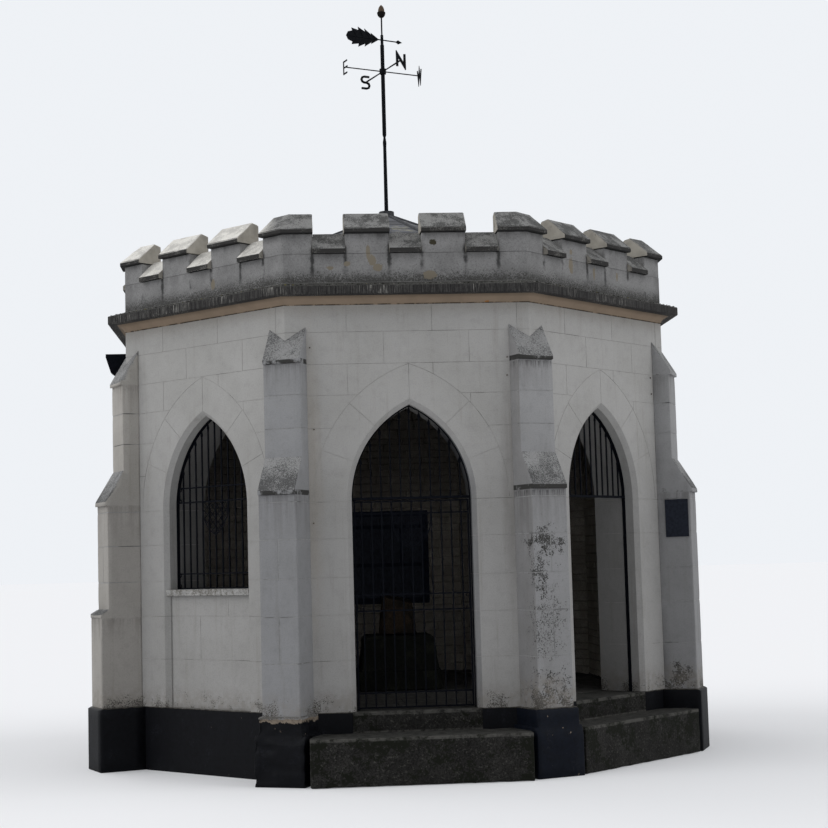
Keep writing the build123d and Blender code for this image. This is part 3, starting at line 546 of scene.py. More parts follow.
def stain_and_shade_render(look, streaks, shaded_and_stained_faces, outer_side, deep_shade):
    """Mottled limewash with runs of rain, whose noise it returns, with painted shade under the
    cornice and deep in the reveals, and with faces turned one way darkened in streaks.
    """
    look.darken(look.cloud(1.3, 0.35, 0.72, 3), (0.91, 0.91, 0.90))
    look.darken(look.cloud(9, 0.45, 0.8, 6, 0.7), 0.88)
    look.darken(look.cloud(80, 0.45, 0.68, 3, 0.7), 0.90)
    look.darken(look.at_height(3.9, 2.3), (0.86, 0.86, 0.865))
    runs = look.noise(2.2, 5, 0.65, (5.0, 5.0, 0.35))
    look.darken(look.rise(runs, 0.52, 0.78), (0.86, 0.85, 0.83))
    # Painted shade under the cornice: a band below it is darkened.
    look.darken(look.below(cornice_foot + 0.01, 0.16), (0.91, 0.89, 0.86))
    look.darken(look.times(look.pits(45, 0.08, 0.03), look.cloud(3.5, 0.60, 0.70)), 0.6)
    for centre, radii, stain in streaks:
        band = look.times(look.spot(centre, radii, 0.15, 5, 0.75), look.rise(runs, 0.15, 0.55))
        look.darken(band, stain)
    # Streaky darkening on faces turned one way: painted shade on one side of each buttress, and a
    # bluish stain on the front's right reveal.
    for direction, stain in shaded_and_stained_faces:
        facing = look.vectors("DOT_PRODUCT", look.normal, direction, "Value")
        soft_runs = look.cloud(3.0, 0.05, 0.55, 4, 0.6, (3.0, 3.0, 0.4))
        look.darken(look.times(look.rise(facing, 0.6, 0.8), soft_runs), stain)
    # Painted shade deep in the reveals, behind the face of the wall.
    if outer_side:
        distance = look.vectors("DOT_PRODUCT", look.position, outer_side, "Value")
        look.darken(look.rise(distance, apothem - 0.12, apothem - 0.22), deep_shade)
    return runs


def dirty_ledges(look, runs, ledges, crust, drips):
    """A stain and drips below each ledge, a black edge along it, and grains on the slopes."""
    for level, reach in ledges:
        stain = look.times(look.below(level, reach), look.rise(runs, 0.38, 0.60))
        look.darken(stain, (0.80, 0.79, 0.79))
        fringe = look.noise(3.0, 5, 0.7, (22.0, 22.0, 1.0))
        ends = look.below(level + 0.055, 0.10, look.add(look.height, look.times(fringe, 0.12)))
        look.darken(look.times(ends, look.rise(fringe, 0.42, 0.60)), 1 - drips)
        edge = look.times(look.between(level, level + LEDGE_EDGE), look.rise(look.slope, 0.3, 0.1))
        dirty = look.cloud(9, 0.35 + 0.34 * crust, 0.20 + 0.34 * crust, 6, 0.7)
        look.cover(look.times(edge, dirty, min(1.0, 2 * crust)), SOOT)
    if ledges:
        lower_cap = look.times(look.at_height(3.6, 3.4), look.at_height(3.05, 2.80))
        amount = look.add(look.times(look.cloud(5.5, 0.34, 0.66, 4), 0.55),
                          look.times(lower_cap, 0.50))
        cap = look.blend(look.grains(amount, 0.22), (0.285, 0.285, 0.283), (0.085, 0.085, 0.085))
        look.cover(look.rise(look.slope, 0.15, 0.3), cap)


def dirty_foot(look, grime, mould):
    """Mould at given places, and damp and splashes near the ground."""
    for centre, radii, amount in mould:
        patchy = look.times(look.spot(centre, radii, 0.9, 12, 0.9), amount)
        look.cover(look.times(look.specks(72, patchy), 0.85), (0.026, 0.025, 0.022))
    ragged = look.times(look.noise(6, 6, 0.7), -0.42 * grime)
    rising = look.rise(look.add(look.height, ragged), floor_level + 0.18, floor_level - 0.05)
    damp = look.times(rising, look.cloud(15, 0.3, 0.62, 6))
    look.cover(look.times(damp, 0.20 + 0.4 * grime), DAMP_BROWN)
    splashed = look.times(look.at_height(floor_level + 0.24, floor_level),
                          look.cloud(4.5, 0.45, 0.62))
    look.cover(look.specks(82, look.times(splashed, 0.7 * grime + 0.35)), (0.085, 0.080, 0.072))


def paint_plinth(look, base, chips, crumbling):
    """Bitumen with a broken top edge, scuffs and chips. Returns the mask of what it covers."""
    crumble = look.times(look.noise(17, 5, 0.65), 0.012 + 0.05 * crumbling)
    painted_base = look.shade(look.cloud(20, 0.35, 0.75, 6), base, 0.55)
    scuffed = look.times(look.cloud(4, 0.50, 0.70, 6, 0.7), look.cloud(55, 0.45, 0.62, 4, 0.7))
    painted_base = look.blend(scuffed, painted_base, (0.011, 0.012, 0.016))
    flaked = look.times(look.cloud(9, 0.72 - 0.14 * chips, 0.735 - 0.14 * chips, 7, 0.66),
                        look.cloud(3.6, 0.47, 0.51, 3))
    bare = look.shade(look.cloud(40, 0.4, 0.7), OLD_RENDER, 0.6)
    painted_base = look.blend(flaked, painted_base, bare)
    painted = look.rise(look.add(look.height, crumble), floor_level + 0.008, floor_level + 0.004)
    look.cover(painted, bare if crumbling else (0.050, 0.046, 0.040))
    inner_edge = look.add(look.height, look.times(crumble, 2.0))
    look.cover(look.rise(inner_edge, floor_level + 0.006, floor_level + 0.002), painted_base)
    return painted


def stucco(name, tone, grime=0.5, chips=0.1, ledges=(), crust=0.6, drips=0.15, mould=(),
           streaks=(), shaded_and_stained_faces=(), crumbling=0.0, base=BITUMEN, outer_side=None,
           deep_shade=0.68):
    """Painted lime render over a bitumen plinth, dirtier below ledges and near the ground."""
    look = Finish(name, tone)
    runs = stain_and_shade_render(look, streaks, shaded_and_stained_faces, outer_side, deep_shade)
    dirty_ledges(look, runs, ledges, crust, drips)
    dirty_foot(look, grime, mould)
    painted = paint_plinth(look, base, chips, crumbling)
    # Faces towards the axis take a brown-grey that is darker above the height of the arches.
    inside = look.shade(look.at_height(2.6, 3.4), (0.20, 0.18, 0.155), 0.5)
    from_axis = look.vectors("LENGTH", look.plan(), output="Value")
    look.cover(look.times(look.faces_in(), look.rise(from_axis, 2.75, 2.62)), inside)
    look.bump(0.0012, 70, 6, 0.7)
    look.bump(0.004, 5, 3)
    return look.done(look.blend(painted, (0.92, 0.92, 0.92), (0.62, 0.62, 0.62)))


def stone(name, tone, patch, scale=14, patches=(0.5, 0.62), grain=75, relief=0.002,
          random_share=0.0, darker_above=False):
    """Rough stone with fine-grained paler or darker patches, and darker above the height of the
    arches.
    """
    look = Finish(name, tone)
    look.darken(look.cloud(5, 0.3, 0.7), 0.70)
    look.darken(look.cloud(grain, 0.42, 0.62, 4, 0.7), 0.62)
    broken = look.cloud(1.4 * grain, 0.38, 0.54, 3, 0.7)
    look.cover(look.times(look.cloud(scale, *patches, 6, 0.65), broken), patch)
    if random_share:
        look.darken(look.times(look.island, random_share), 0.3)
    # Darker above the height of the arches.
    if darker_above:
        look.darken(look.at_height(2.4, 3.4), 0.5)
    look.bump(relief, 60, 7, 0.7)
    return look.done()


def worn_granite(edges):
    """Dark granite with black moss, and paler along the trodden edges at the given levels."""
    look = Finish("worn_granite", (0.034, 0.033, 0.031))
    look.darken(look.cloud(4, 0.3, 0.7), 0.55)
    look.darken(look.cloud(65, 0.42, 0.60, 4, 0.75), 0.40)
    look.cover(look.times(look.cloud(42, 0.56, 0.66, 4, 0.7), 0.6), (0.085, 0.083, 0.075))
    look.cover(look.specks(34, look.cloud(3.6, 0.42, 0.62, 5, 0.65)), (0.009, 0.010, 0.007))
    for level in edges:
        edge = look.between(level - 0.030, level + 0.002, 0.012)
        look.cover(look.times(edge, look.cloud(13, 0.36, 0.60, 6, 0.7), 0.7), (0.105, 0.102, 0.094))
    # Painted shade: the tops of the treads are darkened.
    look.cover(look.times(look.rise(look.slope, 0.6, 0.9), 0.6), (0.027, 0.027, 0.025))
    look.bump(0.006, 55, 7, 0.7)
    return look.done()


def joint_dirt(name, tone):
    """The dirt that lies in an incised joint."""
    look = Finish(name, tone, specular=0.15)
    look.darken(look.cloud(2.6, 0.52, 0.66), 0.42)
    look.darken(look.cloud(25, 0.40, 0.66, 4), 0.82)
    look.cover(look.at_height(floor_level + 0.01, floor_level), BITUMEN)
    return look.done()


def cornice_paint():
    """A tan hollow moulding below a black, streaked lip and a mossy top."""
    look = Finish("cornice_paint", (0.278, 0.214, 0.157))
    look.darken(look.cloud(3, 0.35, 0.75), 0.82)
    # Painted shade: the top of the hollow, under the lip, is darkened.
    look.darken(look.at_height(cornice_foot + 0.055, cornice_foot + 0.085), 0.72)
    look.cover(look.spot((0.79, -3.0, 4.60), (0.035, 0.12, 0.014)), (0.30, 0.15, 0.06))
    streaks = look.cloud(3.0, 0.40, 0.62, 5, 0.7, (26.0, 26.0, 1.2))
    lip = look.blend(streaks, (0.024, 0.023, 0.023), (0.062, 0.060, 0.058))
    drips = look.times(look.cloud(1.9, 0.47, 0.62, 3),
                       look.cloud(3.7, 0.54, 0.60, 5, 0.7, (20.0, 20.0, 1.5)))
    lip = look.blend(drips, lip, (0.21, 0.205, 0.19))
    lip = look.shade(look.cloud(70, 0.45, 0.6, 4), lip, 0.75)
    look.cover(look.at_height(cornice_foot + 0.084, cornice_foot + 0.088), lip)
    seam = look.at_height(cornice_foot + 0.019, cornice_foot + 0.012)
    look.darken(look.times(seam, look.cloud(9, 0.36, 0.54, 6, 0.7)), 0.16)
    crust = look.blend(look.cloud(80, 0.40, 0.62, 4, 0.75), (0.098, 0.096, 0.090),
                       (0.034, 0.034, 0.032))
    crust = look.shade(look.cloud(6, 0.40, 0.65), crust, 0.6)
    look.cover(look.rise(look.slope, 0.2, 0.4), crust)
    look.darken(look.faces_in(), 0.3)
    look.bump(0.002, 45, 6, 0.7)
    return look.done()


def battlement_paint():
    """Old grey limewash with black runs below the copings and bare, flaked patches."""
    look = Finish("battlement_wash", (0.268, 0.266, 0.264))
    look.darken(look.cloud(4, 0.35, 0.7, 6), 0.78)
    look.darken(look.cloud(75, 0.45, 0.65, 4, 0.7), 0.80)
    under = look.either(look.below(merlon_top, 0.10),
                        look.times(look.below(parapet_top, 0.12), 0.45))
    look.darken(look.times(under, look.cloud(2.2, 0.36, 0.66, 5, 0.6, (4.0, 4.0, 0.8))), 0.55)

    # Black runs hang from both ends of each gap
    folded = look.math("FLOORED_MODULO", look.add(look.across(apothem), CRENEL_PITCH / 2),
                       CRENEL_PITCH)
    from_gap = look.math("ABSOLUTE", look.math("SUBTRACT", folded, CRENEL_PITCH / 2))
    from_edge = look.math("ABSOLUTE", look.math("SUBTRACT", from_gap, CRENEL_HALF_WIDTH + 0.012))
    wavy = look.times(look.math("SUBTRACT", look.noise(14, 5, 0.7), 0.5), 0.06)
    run_foot = look.add(look.height, look.times(look.noise(3.1, 2), -0.40))
    run_down = look.times(look.rise(look.add(from_edge, wavy), 0.030, 0.004),
                          look.at_height(merlon_top, parapet_top),
                          look.rise(run_foot, 4.62, 4.78), look.cloud(4, 0.38, 0.52, 3))
    look.darken(run_down, 0.26)

    level_line = look.between(parapet_top - 0.003, parapet_top + 0.003, 0.006)
    look.darken(look.times(level_line, look.cloud(8, 0.45, 0.6, 4)), 0.93)
    foot = look.at_height(wall_top + 0.17, wall_top - 0.02)
    look.darken(look.times(foot, look.cloud(7, 0.25, 0.7)), 0.45)
    look.cover(look.grains(foot, 0.20, 0.58, 0.70), (0.075, 0.074, 0.070))
    patches = [look.spot(patch[:3], patch[3:], 0.45, 20) for patch in BARE_PATCHES]
    look.cover(reduce(look.either, patches), (0.205, 0.180, 0.140))
    look.cover(look.spot((0.275, -2.9, 5.199), (0.035, 0.05, 0.03), 0.6, 40), (0.05, 0.045, 0.03))
    look.bump(0.0018, 50, 6, 0.7)
    return look.done()


def coping_stone():
    """Grey mortar copings: fine-grained slopes, painted sunlight on the slopes on the left, black
    front edges, pale ends and undersides in painted shade.
    """
    look = Finish("coping_stone", (0.385, 0.362, 0.318))
    look.darken(look.cloud(7, 0.35, 0.75), 0.72)
    look.darken(look.specks(60, look.cloud(5, 0.5, 0.8, 4)), 0.6)
    heading = look.vectors("NORMALIZE", look.plan())
    facing = look.vectors("DOT_PRODUCT", heading, look.normal, "Value")
    front = look.blend(look.specks(60, look.cloud(6, 0.42, 0.75)), (0.036, 0.035, 0.034),
                       (0.105, 0.102, 0.096))
    look.cover(look.rise(facing, 0.45, 0.6), front)
    grains = look.grains(look.cloud(6, 0.36, 0.66, 5, 0.65), 0.24)
    top = look.blend(grains, (0.245, 0.244, 0.238), (0.080, 0.080, 0.078))
    # Painted sunlight: the slopes on the left side are much paler.
    painted_sunlit_top = look.blend(look.times(grains, 0.45), (0.76, 0.74, 0.69), (0.20, 0.19, 0.18))
    on_the_left = look.rise(look.part(look.position, "X"), -1.25, -1.45)
    look.cover(look.rise(look.slope, 0.3, 0.5), look.blend(on_the_left, top, painted_sunlit_top))
    # Painted shade: the undersides are near black.
    look.cover(look.rise(look.slope, -0.2, -0.4), (0.03, 0.03, 0.029))
    look.bump(0.002, 55, 7, 0.7)
    return look.done()


def metal_paint(name, tone, worn, roughness=0.6, wear_from=0.66, specular=0.2):
    """Brushed paint on iron, with dull patches and a little rust."""
    look = Finish(name, tone, roughness, specular)
    dull = look.cloud(35, 0.35, 0.75, 6)
    look.darken(dull, 0.6)
    look.cover(look.cloud(60, wear_from, wear_from + 0.05, 6, 0.7), worn)
    look.bump(0.0005, 140, 5)
    return look.done(look.blend(dull, (roughness,) * 3, (roughness + 0.2,) * 3))


def roof_slate(name, tone):
    """Blue-grey slate that varies from one slate to the next, with boards below."""
    look = Finish(name, tone, 0.7, 0.3)
    riven = (1.0, 1.0, 0.4)
    look.cover(look.island, (0.055, 0.055, 0.06))
    look.darken(look.cloud(60, 0.4, 0.65, 4, 0.6, riven), 0.75)
    look.cover(look.specks(70, look.cloud(7, 0.5, 0.7)), (0.19, 0.185, 0.15))
    look.cover(look.rise(look.slope, -0.2, -0.5), (0.06, 0.042, 0.028))
    look.bump(0.0015, 30, 6, 0.6, riven)
    return look.done()


def moss():
    """Dark moss and pale mortar crumbs."""
    look = Finish("moss_crumbs", (0.040, 0.040, 0.034))
    look.cover(look.rise(look.island, 0.62, 0.78), (0.26, 0.255, 0.235))
    look.cover(look.rise(look.island, 0.93, 0.95), (0.19, 0.17, 0.05))
    look.darken(look.noise(120, 3), 0.6)
    look.bump(0.001, 160, 4)
    return look.done()


joint_material = joint_dirt("joint_dirt", (0.355, 0.345, 0.33))
grey_joint_material = joint_dirt("grey_joint_dirt", (0.310, 0.310, 0.307))
iron_paint = metal_paint("iron_paint", (0.0032, 0.0040, 0.0068), (0.020, 0.012, 0.008), 0.7,
                         specular=0.06)


def repaint(material, *nodes):
    """Gives a procedural finish to CAD nodes that keep their shape."""
    for node in nodes:
        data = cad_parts[node].data
        data.materials.clear()
        data.materials.append(material)


def beside(reach, half_gap):
    """The stretches of a side that an opening in its middle leaves."""
    return ((-reach, -half_gap), (half_gap, reach)) if half_gap > 0 else ((-reach, reach),)


def reveal_path(lift):
    """(across, outward) points along a side's face, round the chamfer and into the reveal."""
    lean = lift * (sqrt(2) - 1)
    return [(half_side + OVERSHOOT, lift), (half_opening + ARRIS_CHAMFER - lean, lift),
            (half_opening - lift, lean - ARRIS_CHAMFER), (half_opening - lift, -REVEAL_REACH)]


def crown_of(radius):
    """The height of the point of an arch of a radius."""
    return springing + sqrt(radius**2 - ARCH_CENTRE_OFFSET**2)


def arch_reach(radius, height):
    """Half the width of an arch of a radius at a height above its springing."""
    return sqrt(radius**2 - (height - springing)**2) - ARCH_CENTRE_OFFSET


intrados = half_opening + ARRIS_CHAMFER + ARCH_CENTRE_OFFSET
extrados = intrados + VOUSSOIR_RING


def wall_joints(heading, arched):
    """The joints of one side, in shapes that don't overlap themselves."""
    place = placed(heading, apothem)
    level, upright = Shape(), Shape()
    end = half_side + OVERSHOOT
    round_reveal = reveal_path(OVERSHOOT) + reveal_path(-JOINT_DEPTH)[::-1]
    for height in course_joints:
        band = (height - GAP, height + GAP)
        if arched and height < springing:
            for sign in (-1, 1):
                level.prism(*[[place(sign * x, y, z) for x, y in round_reveal] for z in band])
            continue
        taken = 0.0
        if arched and height < crown_of(extrados):
            taken = arch_reach(extrados, height)
        for stretch in beside(end, taken if taken > SHORTEST_JOINT else 0.0):
            level.box(place, stretch, IN_FACE, band)
    tops = course_joints[1:] + [cornice_foot + OVERSHOOT]
    for row, (low, high) in enumerate(zip(course_joints, tops)):
        for index in range(-2, 4):
            x = BLOCK_SHIFTS[row % 2] + index * BLOCK_LENGTH
            if abs(x) > half_side - CORNER_CLEARANCE or (arched and high < springing):
                continue
            start = low
            if arched and abs(x) + ARCH_CENTRE_OFFSET < extrados:
                start = max(low, springing + sqrt(extrados**2 - (abs(x) + ARCH_CENTRE_OFFSET)**2))
            if high - start > SHORTEST_JOINT:
                upright.box(place, (x - GAP, x + GAP), IN_FACE, (start, high))
    return (level, upright, *arch_joints(place)) if arched else (level, upright)


def arch_joints(place):
    """The joints between the stones of an arch and round them."""
    radial, curved = Shape(), Shape()
    crown_turn = acos(ARCH_CENTRE_OFFSET / extrados)
    turns = [crown_turn * step / 20 for step in range(21)]
    outline = []
    for radius, order in ((extrados + GAP, 1), (extrados - GAP, -1)):
        half = [(radius * cos(turn) - ARCH_CENTRE_OFFSET, springing + radius * sin(turn))
                for turn in turns]
        half[-1] = (0.0, crown_of(radius))
        whole = [(-x, z) for x, z in half] + half[-2::-1]
        outline += whole[::order]
    curved.plate(place, outline, IN_FACE)
    inner = intrados - 0.01
    for sign in (-1, 1):
        for turn in RADIAL_JOINTS:
            along, across = Vector((cos(turn), sin(turn))), Vector((-sin(turn), cos(turn))) * GAP
            corners = [along * radius + across * side
                       for radius, side in ((inner, -1), (extrados, -1), (extrados, 1), (inner, 1))]
            radial.plate(place, [(sign * (point.x - ARCH_CENTRE_OFFSET), springing + point.y)
                                 for point in corners], IN_FACE)
    radial.box(place, (-GAP, GAP), IN_FACE, (crown_of(intrados) - 0.01, crown_of(extrados)))
    return radial, curved


def rendered(node, material, joints):
    """A rendered wall in the place of a node, with its joints cut in."""
    made = piece(f"{node}_render", copy_of(node), (material, joint_material), "stucco", (node,))
    cut(made, *joints)


def build_walls():
    """The eight rendered sides with their incised joints."""
    wall_render = stucco("wall_render", RENDER_WHITE, grime=0.55, chips=0.35)
    for side, heading in PLAIN_SIDES.items():
        rendered(f"wall_{side}", wall_render, wall_joints(heading, False))
    front_streaks = (((-0.98, -2.9, 2.9), (0.16, 0.1, 2.0), (0.97, 0.935, 0.89)),
                     ((0.99, -2.9, 2.8), (0.14, 0.1, 1.7), (0.80, 0.79, 0.78)))
    left_facing = ((-1.0, 0.0, 0.0), (0.42, 0.435, 0.475))
    looks = {"front": dict(grime=0.5, chips=0.3, streaks=front_streaks, shaded_and_stained_faces=(left_facing,)),
             "doorway": dict(grime=0.6, chips=0.35, deep_shade=0.80),
             "window": dict(grime=0.45, chips=0.3, deep_shade=0.56)}
    for side, heading in ARCHED_SIDES.items():
        material = stucco(f"{side}_render", RENDER_WHITE, **looks[side],
                          outer_side=tuple(placed(heading, 1.0)(0.0, 0.0, 0.0)))
        joints = wall_joints(heading, True)
        for name in ("pier_left", "pier_right", "arch_wall"):
            rendered(f"{side}_{name}", material, joints)
    # The window side comes last, and its finish goes on the apron too
    place = placed(ARCHED_SIDES["window"], apothem - APRON_SETBACK)
    level, upright = Shape(), Shape()
    low, high = course_joints[:2]
    for height in (low, high):
        level.box(place, (-half_opening, half_opening), IN_FACE, (height - GAP, height + GAP))
    for x, foot, top in ((-0.148, low, high), (0.267, high, APRON_TOP)):
        upright.box(place, (x - GAP, x + GAP), IN_FACE, (foot, top))
    rendered("window_apron", material, (level, upright))


def buttress_joints(corner, heading):
    """The joints carried round a buttress, and the upright ones on its lower face."""
    place = placed(heading)
    level, upright = Shape(), Shape()
    outer, face = BUTTRESS_HALF_WIDTH + OVERSHOOT, BUTTRESS_HALF_WIDTH - JOINT_DEPTH
    for row, height in enumerate(course_joints):
        if (LOWER_LEDGE - LEDGE_CLEARANCE < height < WEATHERING_TOP
                or height > UPPER_LEDGE - LEDGE_CLEARANCE
                or (corner == "left_front" and height < PLAIN_FOOT_TOP)):
            continue
        front = corner_radius + (LOWER_REACH if height < LOWER_LEDGE else UPPER_REACH)
        ring = [(outer, apothem), (outer, front + OVERSHOOT), (-outer, front + OVERSHOOT),
                (-outer, apothem), (-face, apothem), (-face, front - JOINT_DEPTH),
                (face, front - JOINT_DEPTH), (face, apothem)]
        level.prism(*[[place(x, r, z) for x, r in ring] for z in (height - GAP, height + GAP)])
        if row % 2 == 0 and height + 0.3 < LOWER_LEDGE:
            upright.box(place, (-GAP, GAP), (front - JOINT_DEPTH, front + OVERSHOOT),
                        (height, course_joints[row + 1]))
    return level, upright


def break_foot(work):
    """Knocks lumps off a buttress's foot."""
    bmesh.ops.bisect_plane(work, geom=work.verts[:] + work.edges[:] + work.faces[:], dist=1e-5,
                           plane_co=(0, 0, floor_level), plane_no=(0, 0, 1))
    divide(work, 0.045, floor_level)
    work.normal_update()
    deepest = 0.022
    for vertex in work.verts:
        if 0.02 < vertex.co.z < floor_level - 0.02:
            lump = noise.noise(Vector((vertex.co.x * 5, vertex.co.y * 5, vertex.co.z * 9)))
            vertex.co -= vertex.normal * (deepest * min(max(lump * 3 + 0.5, 0.0), 1.0))


def build_buttresses():
    """The buttresses with their joints and worn arrises."""
    for corner, heading in CORNERS.items():
        node = f"buttress_{corner}"
        turn = radians(heading - 90)
        # One side of each buttress gets streaky painted shade.
        settings = {"tone": RENDER_GREY, "ledges": ((LOWER_LEDGE, 0.5), (UPPER_LEDGE, 0.4)),
                    "shaded_and_stained_faces": (((cos(turn), sin(turn), 0.0), (0.84, 0.83, 0.82)),),
                    **BUTTRESS_LOOKS.get(corner, {})}
        material = stucco(f"{node}_render", **settings)
        work = copy_of(node)
        soften(work, 0.007)
        made = piece(f"{node}_render", work, (material, grey_joint_material), "stucco", (node,))
        cut(made, *buttress_joints(corner, heading))
        worn = bmesh.new()
        worn.from_mesh(made.data)
        divide(worn, 0.11)
        wear(worn, 0.0015, 0.35, 0.006)
        if corner == "front_left":
            break_foot(worn)
        worn.to_mesh(made.data)
        worn.free()


def build_worn_stones():
    """The head of the wall, the steps, the sill and the old cross."""
    wash = battlement_paint()
    granite = worn_granite((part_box("thresholds")[1].z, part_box("lower_steps")[1].z))
    sill_white = stone("sill_white", (0.44, 0.435, 0.42), (0.14, 0.13, 0.115), scale=16,
                       patches=(0.47, 0.60), grain=60, relief=0.004)
    socket_stone = stone("socket_stone", (0.015, 0.016, 0.0135), (0.028, 0.029, 0.021), scale=6,
                         patches=(0.50, 0.66), relief=0.006)
    shaft_stone = stone("shaft_stone", (0.021, 0.019, 0.016), (0.060, 0.042, 0.028), scale=3.5,
                        patches=(0.46, 0.62), relief=0.006)
    for name, node, material, slot in (
            ("cornice_moulding", "cornice", cornice_paint(), "dressings"),
            ("parapet_render", "parapet_wall", wash, "stucco"),
            ("merlon_render", "merlons", wash, "stucco"),
            ("lower_steps_granite", "lower_steps", granite, "granite"),
            ("thresholds_granite", "thresholds", granite, "granite"),
            ("window_sill_render", "window_sill", sill_white, "dressings"),
            ("cross_socket_stone", "cross_socket", socket_stone, "old_stone"),
            ("cross_shaft_stone", "cross_shaft", shaft_stone, "old_stone")):
        piece(name, weathered(copy_of(node), *WORN[node]), (material,), slot, (node,))


def build_copings():
    """The copings with rounded ridges, and crumbs of moss along the cornice's edge."""
    coping = coping_stone()
    ridge_width, ridge_depth, ridge_rounding = 0.025, 0.03, 0.055
    for node in ("crenel_copings", "merlon_copings"):
        work = copy_of(node)
        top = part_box(node)[1].z
        ridge_flats = [edge for edge in work.edges if edge.calc_length() < ridge_width
                       and min(vertex.co.z for vertex in edge.verts) > top - 0.005]
        bmesh.ops.collapse(work, edges=ridge_flats)
        soften(work, ridge_rounding, 20, top - ridge_depth, 4)
        work = weathered(work, *WORN[node])
        piece(f"{node}_mortar", work, (coping,), "dressings", (node,))
    draw = random.Random(5)
    crumbs = Shape()
    lip_top = cornice_foot + 0.175
    reach = cornice_lip * tan(HALF_STEP)
    for heading in range(0, 360, 45):
        place = placed(heading, cornice_lip)
        x = -reach
        while x < reach:
            size = draw.uniform(0.004, 0.012)
            inset = draw.uniform(0.012, 0.05)
            if abs(x) < reach - 0.02:
                crumbs.lump(place(x, -inset, lip_top + 0.4 * inset),
                            (1.3 * size, 1.3 * size, 0.8 * size), draw)
            x += draw.uniform(0.008, 0.05)
    piece("cornice_moss", crumbs.mesh(), (moss(),), "dressings")


def build_roof():
    """Slates in overlapping courses on each slope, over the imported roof."""
    draw = random.Random(7)
    slate_width, gauge, overlap, thickness, slip_most = 0.23, 0.185, 0.11, 0.006, 0.004
    half_joint, hip_gap, eaves_setback, narrowest, tail_gap = 0.002, 0.006, 0.004, 0.02, 0.0005
    pitch = (roof_apex - roof_eaves) / roof_run
    slope_length = sqrt(roof_run**2 + (roof_apex - roof_eaves)**2)
    run_per_length = roof_run / slope_length
    shape = Shape()
    for side in range(8):
        place = placed(side * 45)

        def corner(x, along, lift):
            """A point on the slope: across it, up it from the eaves, and off its surface."""
            distance = roof_run - eaves_setback - along * run_per_length
            edge = max(distance * tan(HALF_STEP) - hip_gap, 0.002)
            return place(min(max(x, -edge), edge), distance, roof_apex - pitch * distance + lift)

        for course in range(int((slope_length - 0.12) / gauge)):
            tail = course * gauge
            head = min(tail + gauge + overlap, slope_length - 0.05)
            reach = (roof_run - tail * run_per_length) * tan(HALF_STEP)
            x = -reach + (0.5 if course % 2 else 0.0) * slate_width - slate_width
            while x < reach:
                left = max(x + half_joint, -reach)
                right = min(x + slate_width - half_joint, reach)
                x += slate_width
                if right - left < narrowest:
                    continue
                slip = draw.uniform(-slip_most, slip_most) if course else 0.0
                lift = thickness * 1.15 + draw.uniform(0.0, 0.0015)
                ring = ((left, tail + slip, lift), (right, tail + slip, lift),
                        (right, head, tail_gap), (left, head, tail_gap))
                shape.prism([corner(*point) for point in ring],
                            [corner(a, b, c + thickness) for a, b, c in ring])
    piece("roof_slates", shape.mesh(), (roof_slate("slates", (0.105, 0.108, 0.12)),), "slate")


def build_floor():
    """Flagstones cut into the top of the floor."""
    draw = random.Random(3)
    paving = stone("flagstones", (0.085, 0.082, 0.077), (0.12, 0.116, 0.110))
    flags = piece("floor_flags", copy_of("floor"), (paving, joint_material), "paving", ("floor",))
    rows, cross = Shape(), Shape()
    row_depth, half_joint, groove_depth = 0.52, 0.004, 0.005
    count = int(inner_apothem / row_depth) + 1
    groove = (floor_level - groove_depth, floor_level + 0.05)
    place = placed(0)
    for row in range(-count, count + 1):
        y = row * row_depth
        rows.box(place, (y - half_joint, y + half_joint), (-3, 3), groove)
        x = -inner_apothem + draw.uniform(0.1, 0.5)
        while x < inner_apothem:
            cross.box(place, (y, y + row_depth), (x - half_joint, x + half_joint), groove)
            x += draw.uniform(0.5, 0.85)
    cut(flags, rows, cross)


def build_lining():
    """Rough coursed stones on the inner faces, over a fillet of cement at the floor."""
    draw = random.Random(11)
    dark_stone = stone("lining_stone", (0.42, 0.385, 0.335), (0.30, 0.27, 0.235), scale=5,
                       patches=(0.45, 0.65), relief=0.003, random_share=0.12, darker_above=True)
    cement = stone("cement_band", (0.052, 0.049, 0.045), (0.03, 0.028, 0.026), scale=12)
    half_width = inner_apothem * tan(HALF_STEP)
    top = wall_top - 0.01
    edge, inset, clearance, fillet, arch_rise = 0.0025, 0.006, 0.02, 0.032, 0.92
    for side, heading in {**PLAIN_SIDES, **ARCHED_SIDES}.items():
        place = placed(heading, inner_apothem)
        stones, band = Shape(), Shape()
        height = floor_level
        while height < top - 0.03:
            rise = min(draw.uniform(0.07, 0.125), top - height)
            free = 0.0
            if side in ARCHED_SIDES and height < springing + arch_rise:
                free = half_opening + clearance
                if height > springing:
                    free = arch_reach(half_opening + ARCH_CENTRE_OFFSET, height) + clearance
            for low, high in beside(half_width, free):
                x = low
                while x < high - 0.02:
                    width = min(draw.uniform(0.25, 0.7), high - x)
                    proud = -draw.uniform(0.006, 0.012)
                    rings = []
                    for gap, outward in ((edge, 0.001), (edge + inset, proud)):
                        left, right, foot, head = (x + gap, x + width - gap, height + gap,
                                                   height + rise - gap)
                        rings.append([place(a, outward, b) for a, b in
                                      ((left, foot), (right, foot), (right, head), (left, head))])
                    stones.prism(*rings)
                    x += width
            height += rise
        piece(f"inner_stones_{side}", stones.mesh(), (dark_stone,), "old_stone")
        for low, high in beside(half_width, half_opening + clearance
                                if side in ("front", "doorway") else 0.0):
            steps = max(int((high - low) / 0.05), 2)
            crest = []
            for step in range(steps + 1):
                x = low + (high - low) * step / steps
                wave = 0.02 * noise.noise(Vector((x * 9, heading, 0)))
                crest.append((x, floor_level + fillet + wave + draw.uniform(-0.006, 0.006)))
            band.plate(place, [(low, floor_level), *crest, (high, floor_level)], (0.0, -0.016))
        piece(f"cement_band_{side}", band.mesh(), (cement,), "old_stone")


